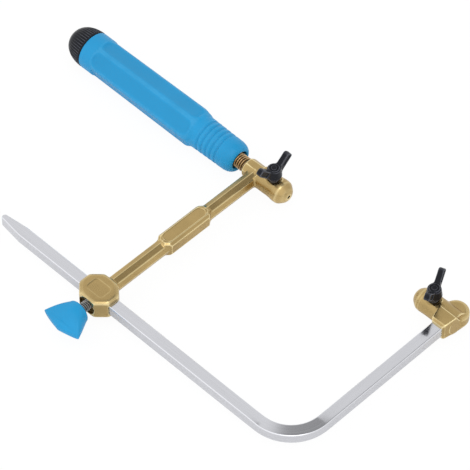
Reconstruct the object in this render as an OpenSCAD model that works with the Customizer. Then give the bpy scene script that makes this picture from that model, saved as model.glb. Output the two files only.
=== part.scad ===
// Adjustable fret saw frame with an octagonal cast arm, a bent square bow bar and a screw-on handle.
// The origin is the mouth of the lower blade hole. +X runs along the blade line to the upper clamp,
// +Y points away from the bow bar and +Z is up, towards the wing screws. Sizes are in millimetres.

/* [Bow bar] */
// Side of the square bow bar
bar_side = 6; // [5:0.1:7]
// Rounding of the bar's long edges
bar_edge = 0.8; // [0.3:0.1:1.2]
// Bend radius of the bar's centreline
bend_radius = 20; // [12:0.5:30]
// Distance from the bar's centreline to the blade line
throat = 104.7; // [80:0.1:150]
// Distance between the noses of the two blade clamps
jaw_gap = 82.7; // [60:0.1:110]
// Length of bar behind the arm's axis
bar_tail = 65.8; // [40:0.1:90]
// Length of the tapered end of the bar
tail_taper = 14; // [8:0.5:20]
// Width of the bar's rounded tip
tip_width = 3; // [2:0.1:4]

/* [Crosshead and arm] */
// Distance from a clamp's nose to the axis of its arm or leg
nose_reach = 20.8; // [20.2:0.1:26]
// Length of the crosshead along the bar
head_length = 19.8; // [17:0.1:26]
// Width of the crosshead across the bar
head_width = 16.8; // [15:0.1:22]
// Height of the crosshead
head_height = 11.4; // [10:0.1:14]
// Corner cut of the crosshead, along the bar
head_cut_x = 5.3; // [3:0.1:6]
// Corner cut of the crosshead, across the bar
head_cut_y = 5.2; // [3:0.1:6]
// Bevel round the crosshead's top and bottom
head_bevel = 1.2; // [0.5:0.1:2]
// Length of the shallow recess on top of the crosshead
recess_length = 10; // [6:0.5:12]
// Width of the shallow recess on top of the crosshead
recess_width = 7; // [4:0.5:9]
// Depth of the shallow recess on top of the crosshead
recess_depth = 0.35; // [0.2:0.05:0.6]
// Arm size across its flats
arm_across = 7; // [6:0.1:8]
// Length of the raised panel in the middle of the arm
panel_length = 30; // [20:1:40]
// Distance from the blade line to the panel's middle
panel_place = 49.4; // [40:0.1:60]
// Width of the raised panel
panel_width = 9; // [8.4:0.1:10]
// Height of the raised panel
panel_height = 8.6; // [8.4:0.1:10]
// Bevel along the panel's edges
panel_bevel = 2; // [1.2:0.1:2.4]
// Depth of the sunk field on the panel
field_depth = 0.4; // [0.2:0.05:0.7]

/* [Blade clamps] */
// Diameter of a clamp's barrel
barrel_d = 11.2; // [10.4:0.1:11.4]
// Diameter of the lower clamp's nose
lower_nose_d = 12.2; // [11:0.1:13]
// Diameter of the upper clamp's nose
upper_nose_d = 11.8; // [11.5:0.1:12.5]
// Radius of the flat round a blade hole
nose_flat = 1.8; // [1.4:0.1:2.5]
// Size across flats of the lower barrel's eight-sided rear
rear_across = 9.4; // [9:0.1:10.4]
// Length of the lower barrel behind the arm's axis
barrel_back = 6.8; // [6:0.1:10]
// Diameter of a blade hole
blade_hole_d = 2; // [1.6:0.1:2.4]
// Depth of a blade hole
blade_hole_depth = 14; // [13.5:0.5:14.5]
// Distance from a nose to its wing screw's axis
screw_back = 10.2; // [9.8:0.1:11.5]
// Diameter of a wing screw
wing_screw_d = 5; // [4:0.1:5.5]
// Thread pitch of a wing screw
wing_pitch = 0.8; // [0.5:0.05:1]
// Thickness of a clamp shoe
shoe_height = 1.5; // [1:0.1:2]
// Depth of the flat seat cut under a wing head
seat_depth = 0.5; // [0.3:0.1:0.8]
// Height of a wing head's hub
hub_height = 6.4; // [5:0.1:8]
// Diameter of a wing head's hub
hub_d = 8; // [7:0.1:9]
// Length of a wing along its slope
wing_length = 11.2; // [8:0.1:12]
// Width of a wing across its slope
wing_width = 3.8; // [3:0.1:4.5]
// Thickness of a wing
wing_thick = 3; // [2:0.1:3.5]
// Slope of the wings
wing_slope = 46; // [30:1:55]
// Heading of the lower wings
lower_heading = 87; // [0:1:180]
// Heading of the upper wings
upper_heading = 110; // [0:1:180]
// Distance from the blade line to the mouth of the bar socket
socket_reach = 9.2; // [8.5:0.1:12]
// Wall of the socket's mouth beside the bar
mouth_wall = 1.1; // [0.8:0.1:2]
// Wall of the socket above and below the bar
socket_roof = 1.8; // [1.4:0.1:2.2]
// Flare of the socket on each side, from its mouth to the boss
socket_flare = 1.4; // [0.5:0.1:2]
// Radius of the round boss at the end of the bar
boss_radius = 6.4; // [6:0.1:8]
// Offset of the boss centre beyond the blade line
boss_offset = 3.9; // [2.5:0.1:5]
// Height of the boss's top above the blade line
boss_top = 3.6; // [3.5:0.1:5]
// Diameter of the pin through the bar's end
pin_d = 2.5; // [2:0.1:3]

/* [Bar lock] */
// Diameter of the lock screw
lock_screw_d = 6; // [5:0.1:6.6]
// Thread pitch of the lock screw
lock_pitch = 1; // [0.75:0.05:1.25]
// Diameter of the counterbore round the lock screw
lock_bore_d = 8.8; // [8:0.1:9]
// Depth of the counterbore round the lock screw
lock_bore_depth = 1.6; // [1:0.1:2]
// Thickness of the lock shoe
lock_shoe_height = 1.5; // [1:0.1:2]
// Gap between the crosshead and the lock knob
knob_gap = 4; // [1.5:0.1:5]
// Length of the lock knob
knob_length = 14.4; // [13:0.1:20]
// Width of the lock knob across its tips
knob_span = 23; // [18:0.5:28]
// Diameter of the lock knob's round shoulder
knob_shoulder = 12; // [11:0.5:14]
// Thickness of the lock knob at its outer end
knob_thick = 7; // [6:0.1:9]
// Thickness of the lock knob at its tips
knob_tip = 3.2; // [2.5:0.1:4]

/* [Handle] */
// Diameter over the handle stud's thread
stud_d = 7.8; // [6.6:0.1:8.6]
// Diameter of the stud's plain end in the lower barrel
stud_spigot_d = 6; // [5:0.1:6.5]
// Thread pitch of the handle stud
stud_pitch = 1.25; // [1:0.05:1.5]
// Depth of the stud in the lower barrel
stud_seat = 8; // [6:0.5:10]
// Bare length of stud between the barrel and the handle
stud_gap = 5.2; // [3:0.1:6]
// Length of stud inside the handle
stud_inside = 30; // [26:0.5:34]
// Length of the handle without its cap
handle_length = 102.1; // [96:0.1:125]
// Radius of the neck of the handle
neck_radius = 8.6; // [8:0.1:9]
// Largest radius of the grip, at its front
grip_radius = 10.1; // [9.6:0.1:11]
// Radius of the grip at its rear
grip_rear = 9.5; // [9:0.1:10.4]
// Radius of the plain collar at the rear
collar_radius = 9.7; // [9.2:0.1:10.4]
// Length of the rounded front end
front_length = 6; // [5:0.5:8]
// Distance from the front end to the grip's shoulder
neck_length = 25.4; // [24:0.1:30]
// Length of the sloping shoulder
shoulder_length = 5; // [3:0.5:7]
// Length of the plain collar at the rear
collar_length = 11.5; // [8:0.5:15]
// Number of ring grooves round the neck
neck_grooves = 5; // [3:1:6]
// Spacing of the ring grooves
groove_step = 3; // [2.5:0.1:3.4]
// Depth of a ring groove
groove_depth = 0.45; // [0.2:0.05:0.8]
// Number of flutes round the grip
flutes = 6; // [5:1:8]
// Depth of a flute
flute_depth = 0.7; // [0.3:0.05:1]
// Radius of the cutter that makes a flute
flute_radius = 9; // [6:0.5:14]
// Heading of a ridge between flutes, from the level
ridge_heading = 110; // [90:1:150]
// Radius of the hole at the front of the handle
front_hole = 4.9; // [4.7:0.1:5.4]
// Depth of the hole at the front of the handle
front_hole_depth = 4; // [3:0.5:6]
// Radius of the threaded insert
insert_radius = 6.2; // [5.8:0.1:6.6]
// Length of the threaded insert
insert_length = 20; // [14:0.5:22]
// Radius of the blade store in the handle
store_radius = 5.5; // [4.5:0.1:6.5]
// Wall between the blade store and the stud's room
store_wall = 6; // [4:0.5:10]
// Length of the end cap's dome
cap_length = 13; // [9:0.5:16]
// Length of the end cap's plug
plug_length = 10; // [7:0.5:14]

/* [Fits] */
// Running clearance of a screw or shaft in its hole, on the radius
run_clear = 0.05; // [0.02:0.01:0.1]
// Clearance of the bar in the crosshead, on each side
slide_clear = 0.15; // [0.1:0.05:0.3]
// Clearance of a fixed piece in its seat
seat_clear = 0.02; // [0.01:0.01:0.05]
// Gap left between faces that meet end to end
end_gap = 0.05; // [0.02:0.01:0.1]

/* [Hidden] */
$fn = 64;
hull_fn = 32;
cut = 1;
barrel_r = barrel_d / 2;
blade_r = blade_hole_d / 2;
wing_screw_r = wing_screw_d / 2;
lock_screw_r = lock_screw_d / 2;
stud_r = stud_d / 2;
spigot_r = stud_spigot_d / 2;
pin_r = pin_d / 2;

// Where things stand along the blade line
arm_x = -nose_reach;
leg_x = jaw_gap + nose_reach;
barrel_end_x = arm_x - barrel_back;
handle_x = barrel_end_x - stud_gap;
handle_end_x = handle_x - handle_length;
bar_y = -throat;
bar_past_boss = 1;
bar_end_y = boss_offset + bar_past_boss;
socket_half = bar_side / 2 + socket_roof;
tip_x = arm_x - bar_tail;
stud_end_room = 1;
stud_room = stud_gap + stud_inside + stud_end_room;

// Wing screws: the shoe's face stands just above the blade hole at rest
shoe_z = blade_r + end_gap;
shoe_floor_z = -0.4 * blade_r;
seat_z = barrel_r - seat_depth;
screw_z = shoe_z + shoe_height + end_gap;
wing_travel = 1.2;
hub_z = seat_z + wing_travel + 2 * end_gap;
screw_grip = 0.75 * hub_height;

// Bar lock, along Y, with the shoe just clear of the bar at rest
lock_shoe_y = bar_y - bar_side / 2 - end_gap;
lock_screw_y = lock_shoe_y - lock_shoe_height - end_gap;
head_face_y = bar_y - head_width / 2;
knob_y = head_face_y - knob_gap;
lock_grip = 0.5 * knob_length;

// Square with round corners, centred
module rounded_rectangle(length, width, corner) {
    square([length - 2 * corner, width], center = true);
    square([length, width - 2 * corner], center = true);
    for (sx = [-1, 1], sy = [-1, 1])
        translate([sx * (length / 2 - corner), sy * (width / 2 - corner)]) circle(r = corner);
}

// Bar section grown by a clearance on every side
module bar_section(clear = 0) {
    rounded_rectangle(bar_side + 2 * clear, bar_side + 2 * clear, bar_edge);
}

// Turns a shape drawn along +Z so that it runs along +X
module along_x() {
    rotate([90, 0, 90]) children();
}

// Turns a shape drawn along +Z so that it runs along -Y
module along_minus_y() {
    rotate([90, 0, 0]) children();
}

// Eight-sided bar with its flats level and upright
module octagon_bar(across, length) {
    flat_turn = 180 / 8;
    rotate([0, 0, flat_turn]) cylinder(r = across / 2 / cos(flat_turn), h = length, $fn = 8);
}

// Round shank with a lead chamfer at the origin, as deep as half a turn of its thread
module threaded_shank(radius, pitch, length) {
    lead = pitch / 2;
    cylinder(r1 = radius - lead, r2 = radius, h = lead);
    translate([0, 0, lead]) cylinder(r = radius, h = length - lead);
}

// Plan of the bar's tapered tail, with its tip at the origin
module tail_plan() {
    tip_r = tip_width / 2;
    polygon([[tip_r, -tip_r], [tail_taper, -bar_side / 2], [tail_taper + cut, -bar_side / 2],
        [tail_taper + cut, bar_side / 2], [tail_taper, bar_side / 2], [tip_r, tip_r]]);
    translate([tip_r, 0]) circle(r = tip_r);
}

// Bent square bar: tapered tail, long leg, bend and short leg
module bow_bar() {
    bend_x = leg_x - bend_radius;
    bend_y = bar_y + bend_radius;
    color("gainsboro") difference() {
        union() {
            translate([tip_x, bar_y, 0]) intersection() {
                along_x() linear_extrude(tail_taper) bar_section();
                linear_extrude(2 * bar_side, center = true) tail_plan();
            }
            translate([tip_x + tail_taper, bar_y, 0])
                along_x() linear_extrude(bend_x - tip_x - tail_taper) bar_section();
            translate([bend_x, bend_y, 0]) rotate([0, 0, -90])
                rotate_extrude(angle = 90) translate([bend_radius, 0]) bar_section();
            translate([leg_x, bar_end_y, 0]) along_minus_y() linear_extrude(bar_end_y - bend_y) bar_section();
        }
        translate([leg_x, pin_y(), -bar_side]) cylinder(r = pin_r + seat_clear, h = 2 * bar_side);
    }
}

// Place of the cross pin in the bar's end
function pin_y() = -socket_reach / 2;

// Barrel with a round nose that faces +X at the origin and runs back along -X
module nose_barrel(nose_r, length) {
    nose_centre = sqrt(nose_r * nose_r - nose_flat * nose_flat);
    step = 1;
    collar = 1.5;
    rotate([0, -90, 0]) {
        intersection() {
            translate([0, 0, nose_centre]) sphere(r = nose_r);
            cylinder(r = nose_r + cut, h = nose_centre);
        }
        translate([0, 0, nose_centre]) cylinder(r = nose_r, h = collar);
        translate([0, 0, nose_centre + collar]) cylinder(r1 = nose_r, r2 = barrel_r, h = step);
        translate([0, 0, nose_centre + collar]) cylinder(r = barrel_r, h = length - nose_centre - collar);
    }
}

// Holes of one clamp: blade hole, screw hole and flat seat, for a nose at the origin that faces +X
module clamp_holes() {
    rotate([0, -90, 0]) translate([0, 0, -cut]) cylinder(r = blade_r, h = blade_hole_depth + cut);
    translate([-screw_back, 0, shoe_floor_z]) cylinder(r = wing_screw_r + run_clear, h = barrel_d);
    translate([-screw_back, 0, seat_z]) cylinder(r = hub_d / 2, h = barrel_d);
}

// Plan of the crosshead, a long octagon
module head_plan(inset = 0) {
    half_x = head_length / 2 - inset;
    half_y = head_width / 2 - inset;
    polygon([[half_x, half_y - head_cut_y], [half_x - head_cut_x, half_y],
        [head_cut_x - half_x, half_y], [-half_x, half_y - head_cut_y],
        [-half_x, head_cut_y - half_y], [head_cut_x - half_x, -half_y],
        [half_x - head_cut_x, -half_y], [half_x, head_cut_y - half_y]]);
}

// Solid crosshead with bevelled edges
module head_block() {
    hull() {
        linear_extrude(head_height - 2 * head_bevel, center = true) head_plan();
        linear_extrude(head_height, center = true) head_plan(head_bevel);
    }
}

// Plan of the raised panel, a long rectangle with sloping ends
module panel_plan(inset = 0) {
    half_x = panel_width / 2 - inset;
    half_y = panel_length / 2 - inset;
    slope = panel_width / 3;
    polygon([[half_x, slope - half_y], [half_x, half_y - slope], [half_x - slope, half_y],
        [slope - half_x, half_y], [-half_x, half_y - slope], [-half_x, slope - half_y],
        [slope - half_x, -half_y], [half_x - slope, -half_y]]);
}

// Raised panel with bevelled edges and a sunk, bare field
module arm_panel() {
    field_margin = 0.6;
    field_width = panel_width - 2 * (panel_bevel + field_margin);
    field_length = panel_length - 2 * (panel_bevel + 2 * field_margin);
    field_corner = 0.48 * field_width;
    difference() {
        hull() {
            linear_extrude(panel_height - 2 * panel_bevel, center = true) panel_plan();
            linear_extrude(panel_height, center = true) panel_plan(panel_bevel);
        }
        translate([0, 0, panel_height / 2 - field_depth]) linear_extrude(cut)
            rounded_rectangle(field_width, field_length, field_corner);
    }
}

// One casting: crosshead, arm with its panel, and the lower clamp's barrel
module crosshead_arm() {
    arm_start = bar_y + head_width / 2 - head_bevel;
    end_chamfer = 1.2;
    octagon_length = barrel_back + arm_across;
    rear_r = rear_across / 2;
    round_length = nose_reach - arm_across / 3;
    color("darkgoldenrod") difference() {
        union() {
            translate([arm_x, bar_y, 0]) head_block();
            translate([arm_x, 0, 0]) along_minus_y() octagon_bar(arm_across, -arm_start);
            translate([arm_x, -panel_place, 0]) arm_panel();
            nose_barrel(lower_nose_d / 2, round_length);
            translate([barrel_end_x, 0, 0]) intersection() {
                along_x() octagon_bar(rear_across, octagon_length);
                along_x() union() {
                    cylinder(r1 = rear_r - end_chamfer / 2, r2 = rear_r + end_chamfer, h = end_chamfer);
                    translate([0, 0, end_chamfer]) cylinder(r = rear_r + end_chamfer, h = octagon_length);
                }
            }
        }
        clamp_holes();
        translate([barrel_end_x - cut, 0, 0]) along_x()
            cylinder(r = spigot_r + seat_clear, h = stud_seat + cut);
        translate([arm_x - head_length, bar_y, 0]) along_x()
            linear_extrude(2 * head_length) bar_section(slide_clear);
        translate([arm_x, bar_y, 0]) along_minus_y() cylinder(r = lock_screw_r + run_clear, h = head_width);
        translate([arm_x, head_face_y + lock_bore_depth, 0]) along_minus_y()
            cylinder(r = lock_bore_d / 2, h = head_width);
        translate([arm_x, bar_y, head_height / 2 - recess_depth]) linear_extrude(cut)
            rounded_rectangle(recess_length, recess_width, recess_width / 4);
    }
}

// Threaded rod that carries the handle, with a plain spigot seated in the lower barrel
module handle_stud() {
    stud_length = stud_gap + stud_inside;
    color("rosybrown") translate([barrel_end_x - end_gap, 0, 0]) rotate([0, -90, 0]) {
        translate([0, 0, -stud_seat + seat_clear]) cylinder(r = spigot_r, h = stud_seat);
        translate([0, 0, stud_length]) mirror([0, 0, 1]) threaded_shank(stud_r, stud_pitch, stud_length);
    }
}

// Outline of the handle from its front end, as distance and radius
function handle_outline() = let (
    front_steps = 10,
    lip = front_hole + 0.3,
    collar_step = 0.6,
    grip_start = neck_length + shoulder_length,
    grip_end = handle_length - collar_length
) concat(
    [[0, 0], [0, lip]],
    [for (i = [1 : front_steps]) let (a = 90 * i / front_steps)
        [front_length * (1 - cos(a)), lip + (neck_radius - lip) * sin(a)]],
    [[neck_length, neck_radius], [grip_start, grip_radius], [grip_end, grip_rear],
     [grip_end + collar_step, collar_radius], [handle_length, collar_radius], [handle_length, 0]]
);

// Plastic handle with ring grooves, flutes, a seat for the insert and a blade store
module handle_grip() {
    flute_margin = 3.5;
    flute_start = neck_length + shoulder_length + flute_margin;
    flute_length = handle_length - collar_length - flute_margin - flute_start;
    groove_margin = 3.6;
    groove_start = front_length + groove_margin;
    groove_r = 2 * groove_depth;
    insert_end = front_hole_depth + insert_length;
    color("deepskyblue") translate([handle_x, 0, 0]) rotate([0, -90, 0]) difference() {
        rotate_extrude() polygon([for (p = handle_outline()) [p[1], p[0]]]);
        for (i = [0 : neck_grooves - 1])
            translate([0, 0, groove_start + i * groove_step]) rotate_extrude()
                translate([neck_radius - groove_depth + groove_r, 0]) circle(r = groove_r);
        for (i = [0 : flutes - 1])
            rotate([0, 0, 90 - ridge_heading + (i + 0.5) * 360 / flutes])
                translate([grip_radius - flute_depth + flute_radius, 0, flute_start])
                    cylinder(r = flute_radius, h = flute_length);
        translate([0, 0, -cut]) cylinder(r = front_hole, h = front_hole_depth + 2 * cut);
        translate([0, 0, front_hole_depth]) cylinder(r = insert_radius + run_clear, h = insert_length);
        translate([0, 0, insert_end - cut]) cylinder(r = front_hole, h = stud_room - insert_end + cut);
        translate([0, 0, stud_room + store_wall]) cylinder(r = store_radius, h = handle_length);
    }
}

// Round threaded insert that runs on the stud inside the handle
module handle_insert() {
    color("goldenrod") translate([handle_x - front_hole_depth - end_gap, 0, 0]) rotate([0, -90, 0])
        difference() {
            cylinder(r = insert_radius, h = insert_length - 2 * end_gap);
            translate([0, 0, -cut]) cylinder(r = stud_r + run_clear, h = insert_length + 2 * cut);
        }
}

// Domed cap with a plug that closes the blade store
module end_cap() {
    dome_steps = 14;
    dome = [for (i = [0 : dome_steps]) let (a = 90 * i / dome_steps)
        [collar_radius * cos(a), cap_length * sin(a)]];
    color("dimgray") translate([handle_end_x - end_gap, 0, 0]) rotate([0, -90, 0]) {
        rotate_extrude() polygon(concat([[0, 0]], dome));
        translate([0, 0, -plug_length]) cylinder(r = store_radius - run_clear, h = plug_length);
    }
}

// Flared socket of the upper clamp, from its mouth to the blade line
module socket_body() {
    mouth_corner = 2.2;
    mouth_width = bar_side + 2 * mouth_wall;
    lip_depth = 1.2;
    lip_width = bar_side + mouth_wall;
    lip_height = bar_side + socket_roof;
    slab = 0.2;
    along_minus_y() hull() {
        translate([0, 0, socket_reach - slab]) linear_extrude(slab)
            rounded_rectangle(lip_width, lip_height, mouth_corner / 2, $fn = hull_fn);
        translate([0, 0, socket_reach - lip_depth]) linear_extrude(slab)
            rounded_rectangle(mouth_width, 2 * socket_half, mouth_corner, $fn = hull_fn);
        linear_extrude(slab)
            rounded_rectangle(mouth_width + 2 * socket_flare, 2 * socket_half, mouth_corner, $fn = hull_fn);
    }
}

// Upright round boss that closes the bar socket, with rounded rims
module end_boss() {
    rim = 2.4;
    boss_height = socket_half + boss_top;
    translate([0, boss_offset, boss_top - boss_height / 2]) rotate_extrude() intersection() {
        rounded_rectangle(2 * boss_radius, boss_height, rim);
        translate([0, -boss_height]) square([2 * boss_radius, 2 * boss_height]);
    }
}

// Casting on the end of the bar: nose barrel, bar socket and boss
module upper_clamp() {
    color("goldenrod") difference() {
        union() {
            translate([jaw_gap, 0, 0]) mirror([1, 0, 0]) nose_barrel(upper_nose_d / 2, nose_reach);
            translate([leg_x, 0, 0]) sphere(r = barrel_r);
            translate([leg_x, 0, 0]) socket_body();
            translate([leg_x, 0, 0]) end_boss();
        }
        translate([jaw_gap, 0, 0]) mirror([1, 0, 0]) clamp_holes();
        translate([leg_x, bar_end_y + seat_clear, 0]) along_minus_y()
            linear_extrude(4 * socket_reach) bar_section(seat_clear);
        translate([leg_x, pin_y(), -2 * boss_radius]) 
            cylinder(r = pin_r + seat_clear, h = pin_top() + 2 * boss_radius);
    }
}

// Height of the cross pin's blind end
function pin_top() = (bar_side / 2 + socket_half) / 2;

// Cross pin that holds the upper clamp on the bar, driven in from below
module clamp_pin() {
    color("silver") translate([leg_x, pin_y(), -socket_half])
        cylinder(r = pin_r, h = socket_half + pin_top() - seat_clear);
}

// Wing head with its hub's foot on the ground plane, wings along +X and -X
module wing_head(heading) {
    foot_height = 1.4;
    foot_r = wing_screw_r + 0.6;
    hub_top_r = hub_d / 2 - 0.7;
    ring_inset = 1.2;
    ring_r = hub_d / 2 - ring_inset;
    ring_height = 0.5;
    wing_root = 1.6;
    wing_start_z = 0.42 * hub_height;
    color("#22252b") rotate([0, 0, heading]) difference() {
        union() {
            cylinder(r = foot_r, h = foot_height);
            translate([0, 0, foot_height])
                cylinder(r1 = hub_d / 2, r2 = hub_top_r, h = hub_height - foot_height);
            translate([0, 0, hub_height]) cylinder(r = ring_r, h = ring_height);
            for (side = [0, 1]) rotate([0, 0, 180 * side]) translate([wing_root, 0, wing_start_z])
                rotate([90, 0, 0]) linear_extrude(wing_thick, center = true)
                    rotate([0, 0, wing_slope]) translate([wing_length / 2, 0])
                        rounded_rectangle(wing_length, wing_width, wing_width / 3);
        }
        translate([0, 0, -cut]) cylinder(r = wing_screw_r + seat_clear, h = screw_grip + cut);
    }
}

// Threaded shank of a wing screw, from the shoe up into the wing head
module wing_shank() {
    color("slategray") translate([0, 0, screw_z])
        threaded_shank(wing_screw_r, wing_pitch, hub_z + screw_grip - seat_clear - screw_z);
}

// Loose disc between a wing screw and the blade
module clamp_shoe() {
    color("peru") translate([0, 0, shoe_z]) cylinder(r = wing_screw_r - run_clear, h = shoe_height);
}

module lower_wing() {
    translate([-screw_back, 0, hub_z]) wing_head(lower_heading);
}

module lower_screw() {
    translate([-screw_back, 0, 0]) wing_shank();
}

module lower_shoe() {
    translate([-screw_back, 0, 0]) clamp_shoe();
}

module upper_wing() {
    translate([jaw_gap + screw_back, 0, hub_z]) wing_head(upper_heading);
}

module upper_screw() {
    translate([jaw_gap + screw_back, 0, 0]) wing_shank();
}

module upper_shoe() {
    translate([jaw_gap + screw_back, 0, 0]) clamp_shoe();
}

// Paddle-shaped knob of the bar lock, round at its shoulder and thin at its two tips
module lock_knob() {
    end_r = knob_thick / 2;
    tip_r = knob_tip / 2;
    shoulder_r = knob_shoulder / 2;
    shoulder_edge = 0.9;
    shoulder_length = 1.2;
    tip_reach = 0.83 * knob_length;
    color("deepskyblue") translate([arm_x, knob_y, 0]) along_minus_y() difference() {
        hull() {
            cylinder(r = shoulder_r - shoulder_edge, h = shoulder_edge, $fn = hull_fn);
            translate([0, 0, shoulder_edge]) cylinder(r = shoulder_r, h = shoulder_length, $fn = hull_fn);
            for (side = [-1, 1]) translate([side * (knob_span / 2 - tip_r), 0, tip_reach])
                sphere(r = tip_r, $fn = hull_fn);
            translate([0, 0, knob_length - end_r]) sphere(r = end_r, $fn = hull_fn);
        }
        translate([0, 0, -cut]) cylinder(r = lock_screw_r + seat_clear, h = lock_grip + cut);
    }
}

// Threaded shank of the bar lock
module lock_screw() {
    color("silver") translate([arm_x, lock_screw_y, 0]) along_minus_y()
        threaded_shank(lock_screw_r, lock_pitch, lock_screw_y - knob_y + lock_grip - seat_clear);
}

// Loose disc between the lock screw and the bar
module lock_shoe() {
    color("peru") translate([arm_x, lock_shoe_y, 0]) along_minus_y()
        cylinder(r = lock_screw_r - run_clear, h = lock_shoe_height);
}

crosshead_arm();
handle_stud();
handle_grip();
handle_insert();
end_cap();
bow_bar();
upper_clamp();
clamp_pin();
lower_wing();
lower_screw();
lower_shoe();
upper_wing();
upper_screw();
upper_shoe();
lock_knob();
lock_screw();
lock_shoe();
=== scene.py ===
import math

import bpy
import numpy as np
from bpy.props import FloatProperty, FloatVectorProperty, IntProperty, PointerProperty
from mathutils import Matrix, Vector


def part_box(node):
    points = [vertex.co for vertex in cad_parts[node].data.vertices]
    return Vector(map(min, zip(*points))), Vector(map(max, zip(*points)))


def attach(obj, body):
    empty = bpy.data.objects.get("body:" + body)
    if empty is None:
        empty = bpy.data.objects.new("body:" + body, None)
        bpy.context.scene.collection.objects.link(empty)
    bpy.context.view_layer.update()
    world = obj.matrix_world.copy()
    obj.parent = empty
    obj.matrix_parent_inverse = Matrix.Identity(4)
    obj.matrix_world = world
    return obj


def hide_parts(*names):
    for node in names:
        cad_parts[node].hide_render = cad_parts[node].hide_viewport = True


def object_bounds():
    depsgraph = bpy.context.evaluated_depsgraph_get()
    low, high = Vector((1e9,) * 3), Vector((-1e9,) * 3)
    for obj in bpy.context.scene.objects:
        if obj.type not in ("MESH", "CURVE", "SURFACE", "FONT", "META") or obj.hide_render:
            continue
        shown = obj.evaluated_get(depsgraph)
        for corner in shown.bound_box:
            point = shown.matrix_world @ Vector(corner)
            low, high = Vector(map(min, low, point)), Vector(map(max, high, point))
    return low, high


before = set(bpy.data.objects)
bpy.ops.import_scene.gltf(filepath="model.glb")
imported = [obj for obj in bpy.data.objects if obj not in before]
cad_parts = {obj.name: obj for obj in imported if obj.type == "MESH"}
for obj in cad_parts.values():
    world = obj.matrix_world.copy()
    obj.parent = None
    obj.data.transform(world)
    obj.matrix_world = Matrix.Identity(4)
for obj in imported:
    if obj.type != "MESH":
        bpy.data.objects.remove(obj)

bl_info = {
    "name": "Fret saw frame",
    "version": (1, 0, 0),
    "blender": (4, 5, 0),
    "location": "View3D > Sidebar > Fret Saw",
    "description": "Dresses the packed fret saw frame with modelled surfaces and procedural finishes",
    "category": "Object",
}

MM = 0.001
CAD_BOX = [list(corner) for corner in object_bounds()]


def node_box(node):
    """Lowest and highest corner of a CAD node in millimetres."""
    low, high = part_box(node)
    return np.array(low) / MM, np.array(high) / MM


# Boxes and places of the CAD nodes, in millimetres
BAR_LOW, BAR_HIGH = node_box("bow_bar")
ARM_LOW, ARM_HIGH = node_box("crosshead_arm")
GRIP_LOW, GRIP_HIGH = node_box("handle_grip")
CAP_LOW, CAP_HIGH = node_box("end_cap")
STUD_LOW, STUD_HIGH = node_box("handle_stud")
UPPER_LOW, UPPER_HIGH = node_box("upper_clamp")
KNOB_LOW, KNOB_HIGH = node_box("lock_knob")
LOCK_LOW, LOCK_HIGH = node_box("lock_screw")
LOWER_WING_LOW, LOWER_WING_HIGH = node_box("lower_wing")
LOWER_SCREW_LOW, LOWER_SCREW_HIGH = node_box("lower_screw")
UPPER_SCREW_LOW, UPPER_SCREW_HIGH = node_box("upper_screw")

BAR_SIDE = BAR_HIGH[2] - BAR_LOW[2]
BAR_Y = BAR_LOW[1] + BAR_SIDE / 2
LEG_X = BAR_HIGH[0] - BAR_SIDE / 2
ARM_X = (KNOB_LOW[0] + KNOB_HIGH[0]) / 2
JAW_X = UPPER_LOW[0]
HANDLE_X = GRIP_HIGH[0]
HANDLE_LENGTH = GRIP_HIGH[0] - GRIP_LOW[0]
LOWER_WING_X = (LOWER_SCREW_LOW[0] + LOWER_SCREW_HIGH[0]) / 2
UPPER_WING_X = (UPPER_SCREW_LOW[0] + UPPER_SCREW_HIGH[0]) / 2
HUB_Z = LOWER_WING_LOW[2]

# Sizes that more than one piece uses, in millimetres
LOCK_BORE_R = 4.75
LOCK_BORE_DEPTH = 2.0
NOSE_FLAT = 1.8
CHANNEL_CORNER = 0.8
WING_ROOT = 1.6
WING_SEAT_R = 4.0
WING_TRAVEL = 1.2
SEAT_ROOM = 0.15
WING_SEAT_Z = HUB_Z - WING_TRAVEL - SEAT_ROOM
POINTED = 0.01

# Edge marks: how strongly seats and bores count as corners, which their finish darkens as painted shade, and
# the mark of a screw's plain end
SEAT_SHADE = 0.62
BORE_SHADE = 1.0
PLAIN_MARK = 0.3

FULL_TURN = 2 * math.pi
QUARTER_TURN = math.pi / 2
WHITE = (1.0, 1.0, 1.0, 1.0)


def length(name, default, description):
    """A size property in Blender's length unit, with its default given in millimetres."""
    return FloatProperty(name=name, description=description, default=default * MM, unit="LENGTH",
                         precision=5, min=0.0)


def degrees(name, default, description):
    """An angle property, with its default given in degrees."""
    return FloatProperty(name=name, description=description, default=math.radians(default), subtype="ANGLE")


def strength(name, default, description, unit="NONE"):
    """A share of light, or a lamp's power."""
    return FloatProperty(name=name, description=description, default=default, unit=unit)


def tally(name, default, description):
    """A number of like features."""
    return IntProperty(name=name, description=description, default=default, min=3)


def colour(name, default, description):
    """A colour property in linear light."""
    return FloatVectorProperty(name=name, description=description, default=default, subtype="COLOR",
                               size=3, min=0.0, max=1.0)


class FretSawBar(bpy.types.PropertyGroup):
    """Sizes of the bent square bar."""

    edge: length("Edge radius", 0.5, "Radius of the bar's long edges")
    bend: length("Bend radius", 20.0, "Radius of the bar's middle line in the bend")
    taper: length("Tail taper", 14.0, "Length of the tapered tail")
    tip: length("Tip width", 3.0, "Width of the bar at its rounded tip")
    swell: length("Bend swell", 0.34, "How far the bend thickens inside and thins outside, above and below")


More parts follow.
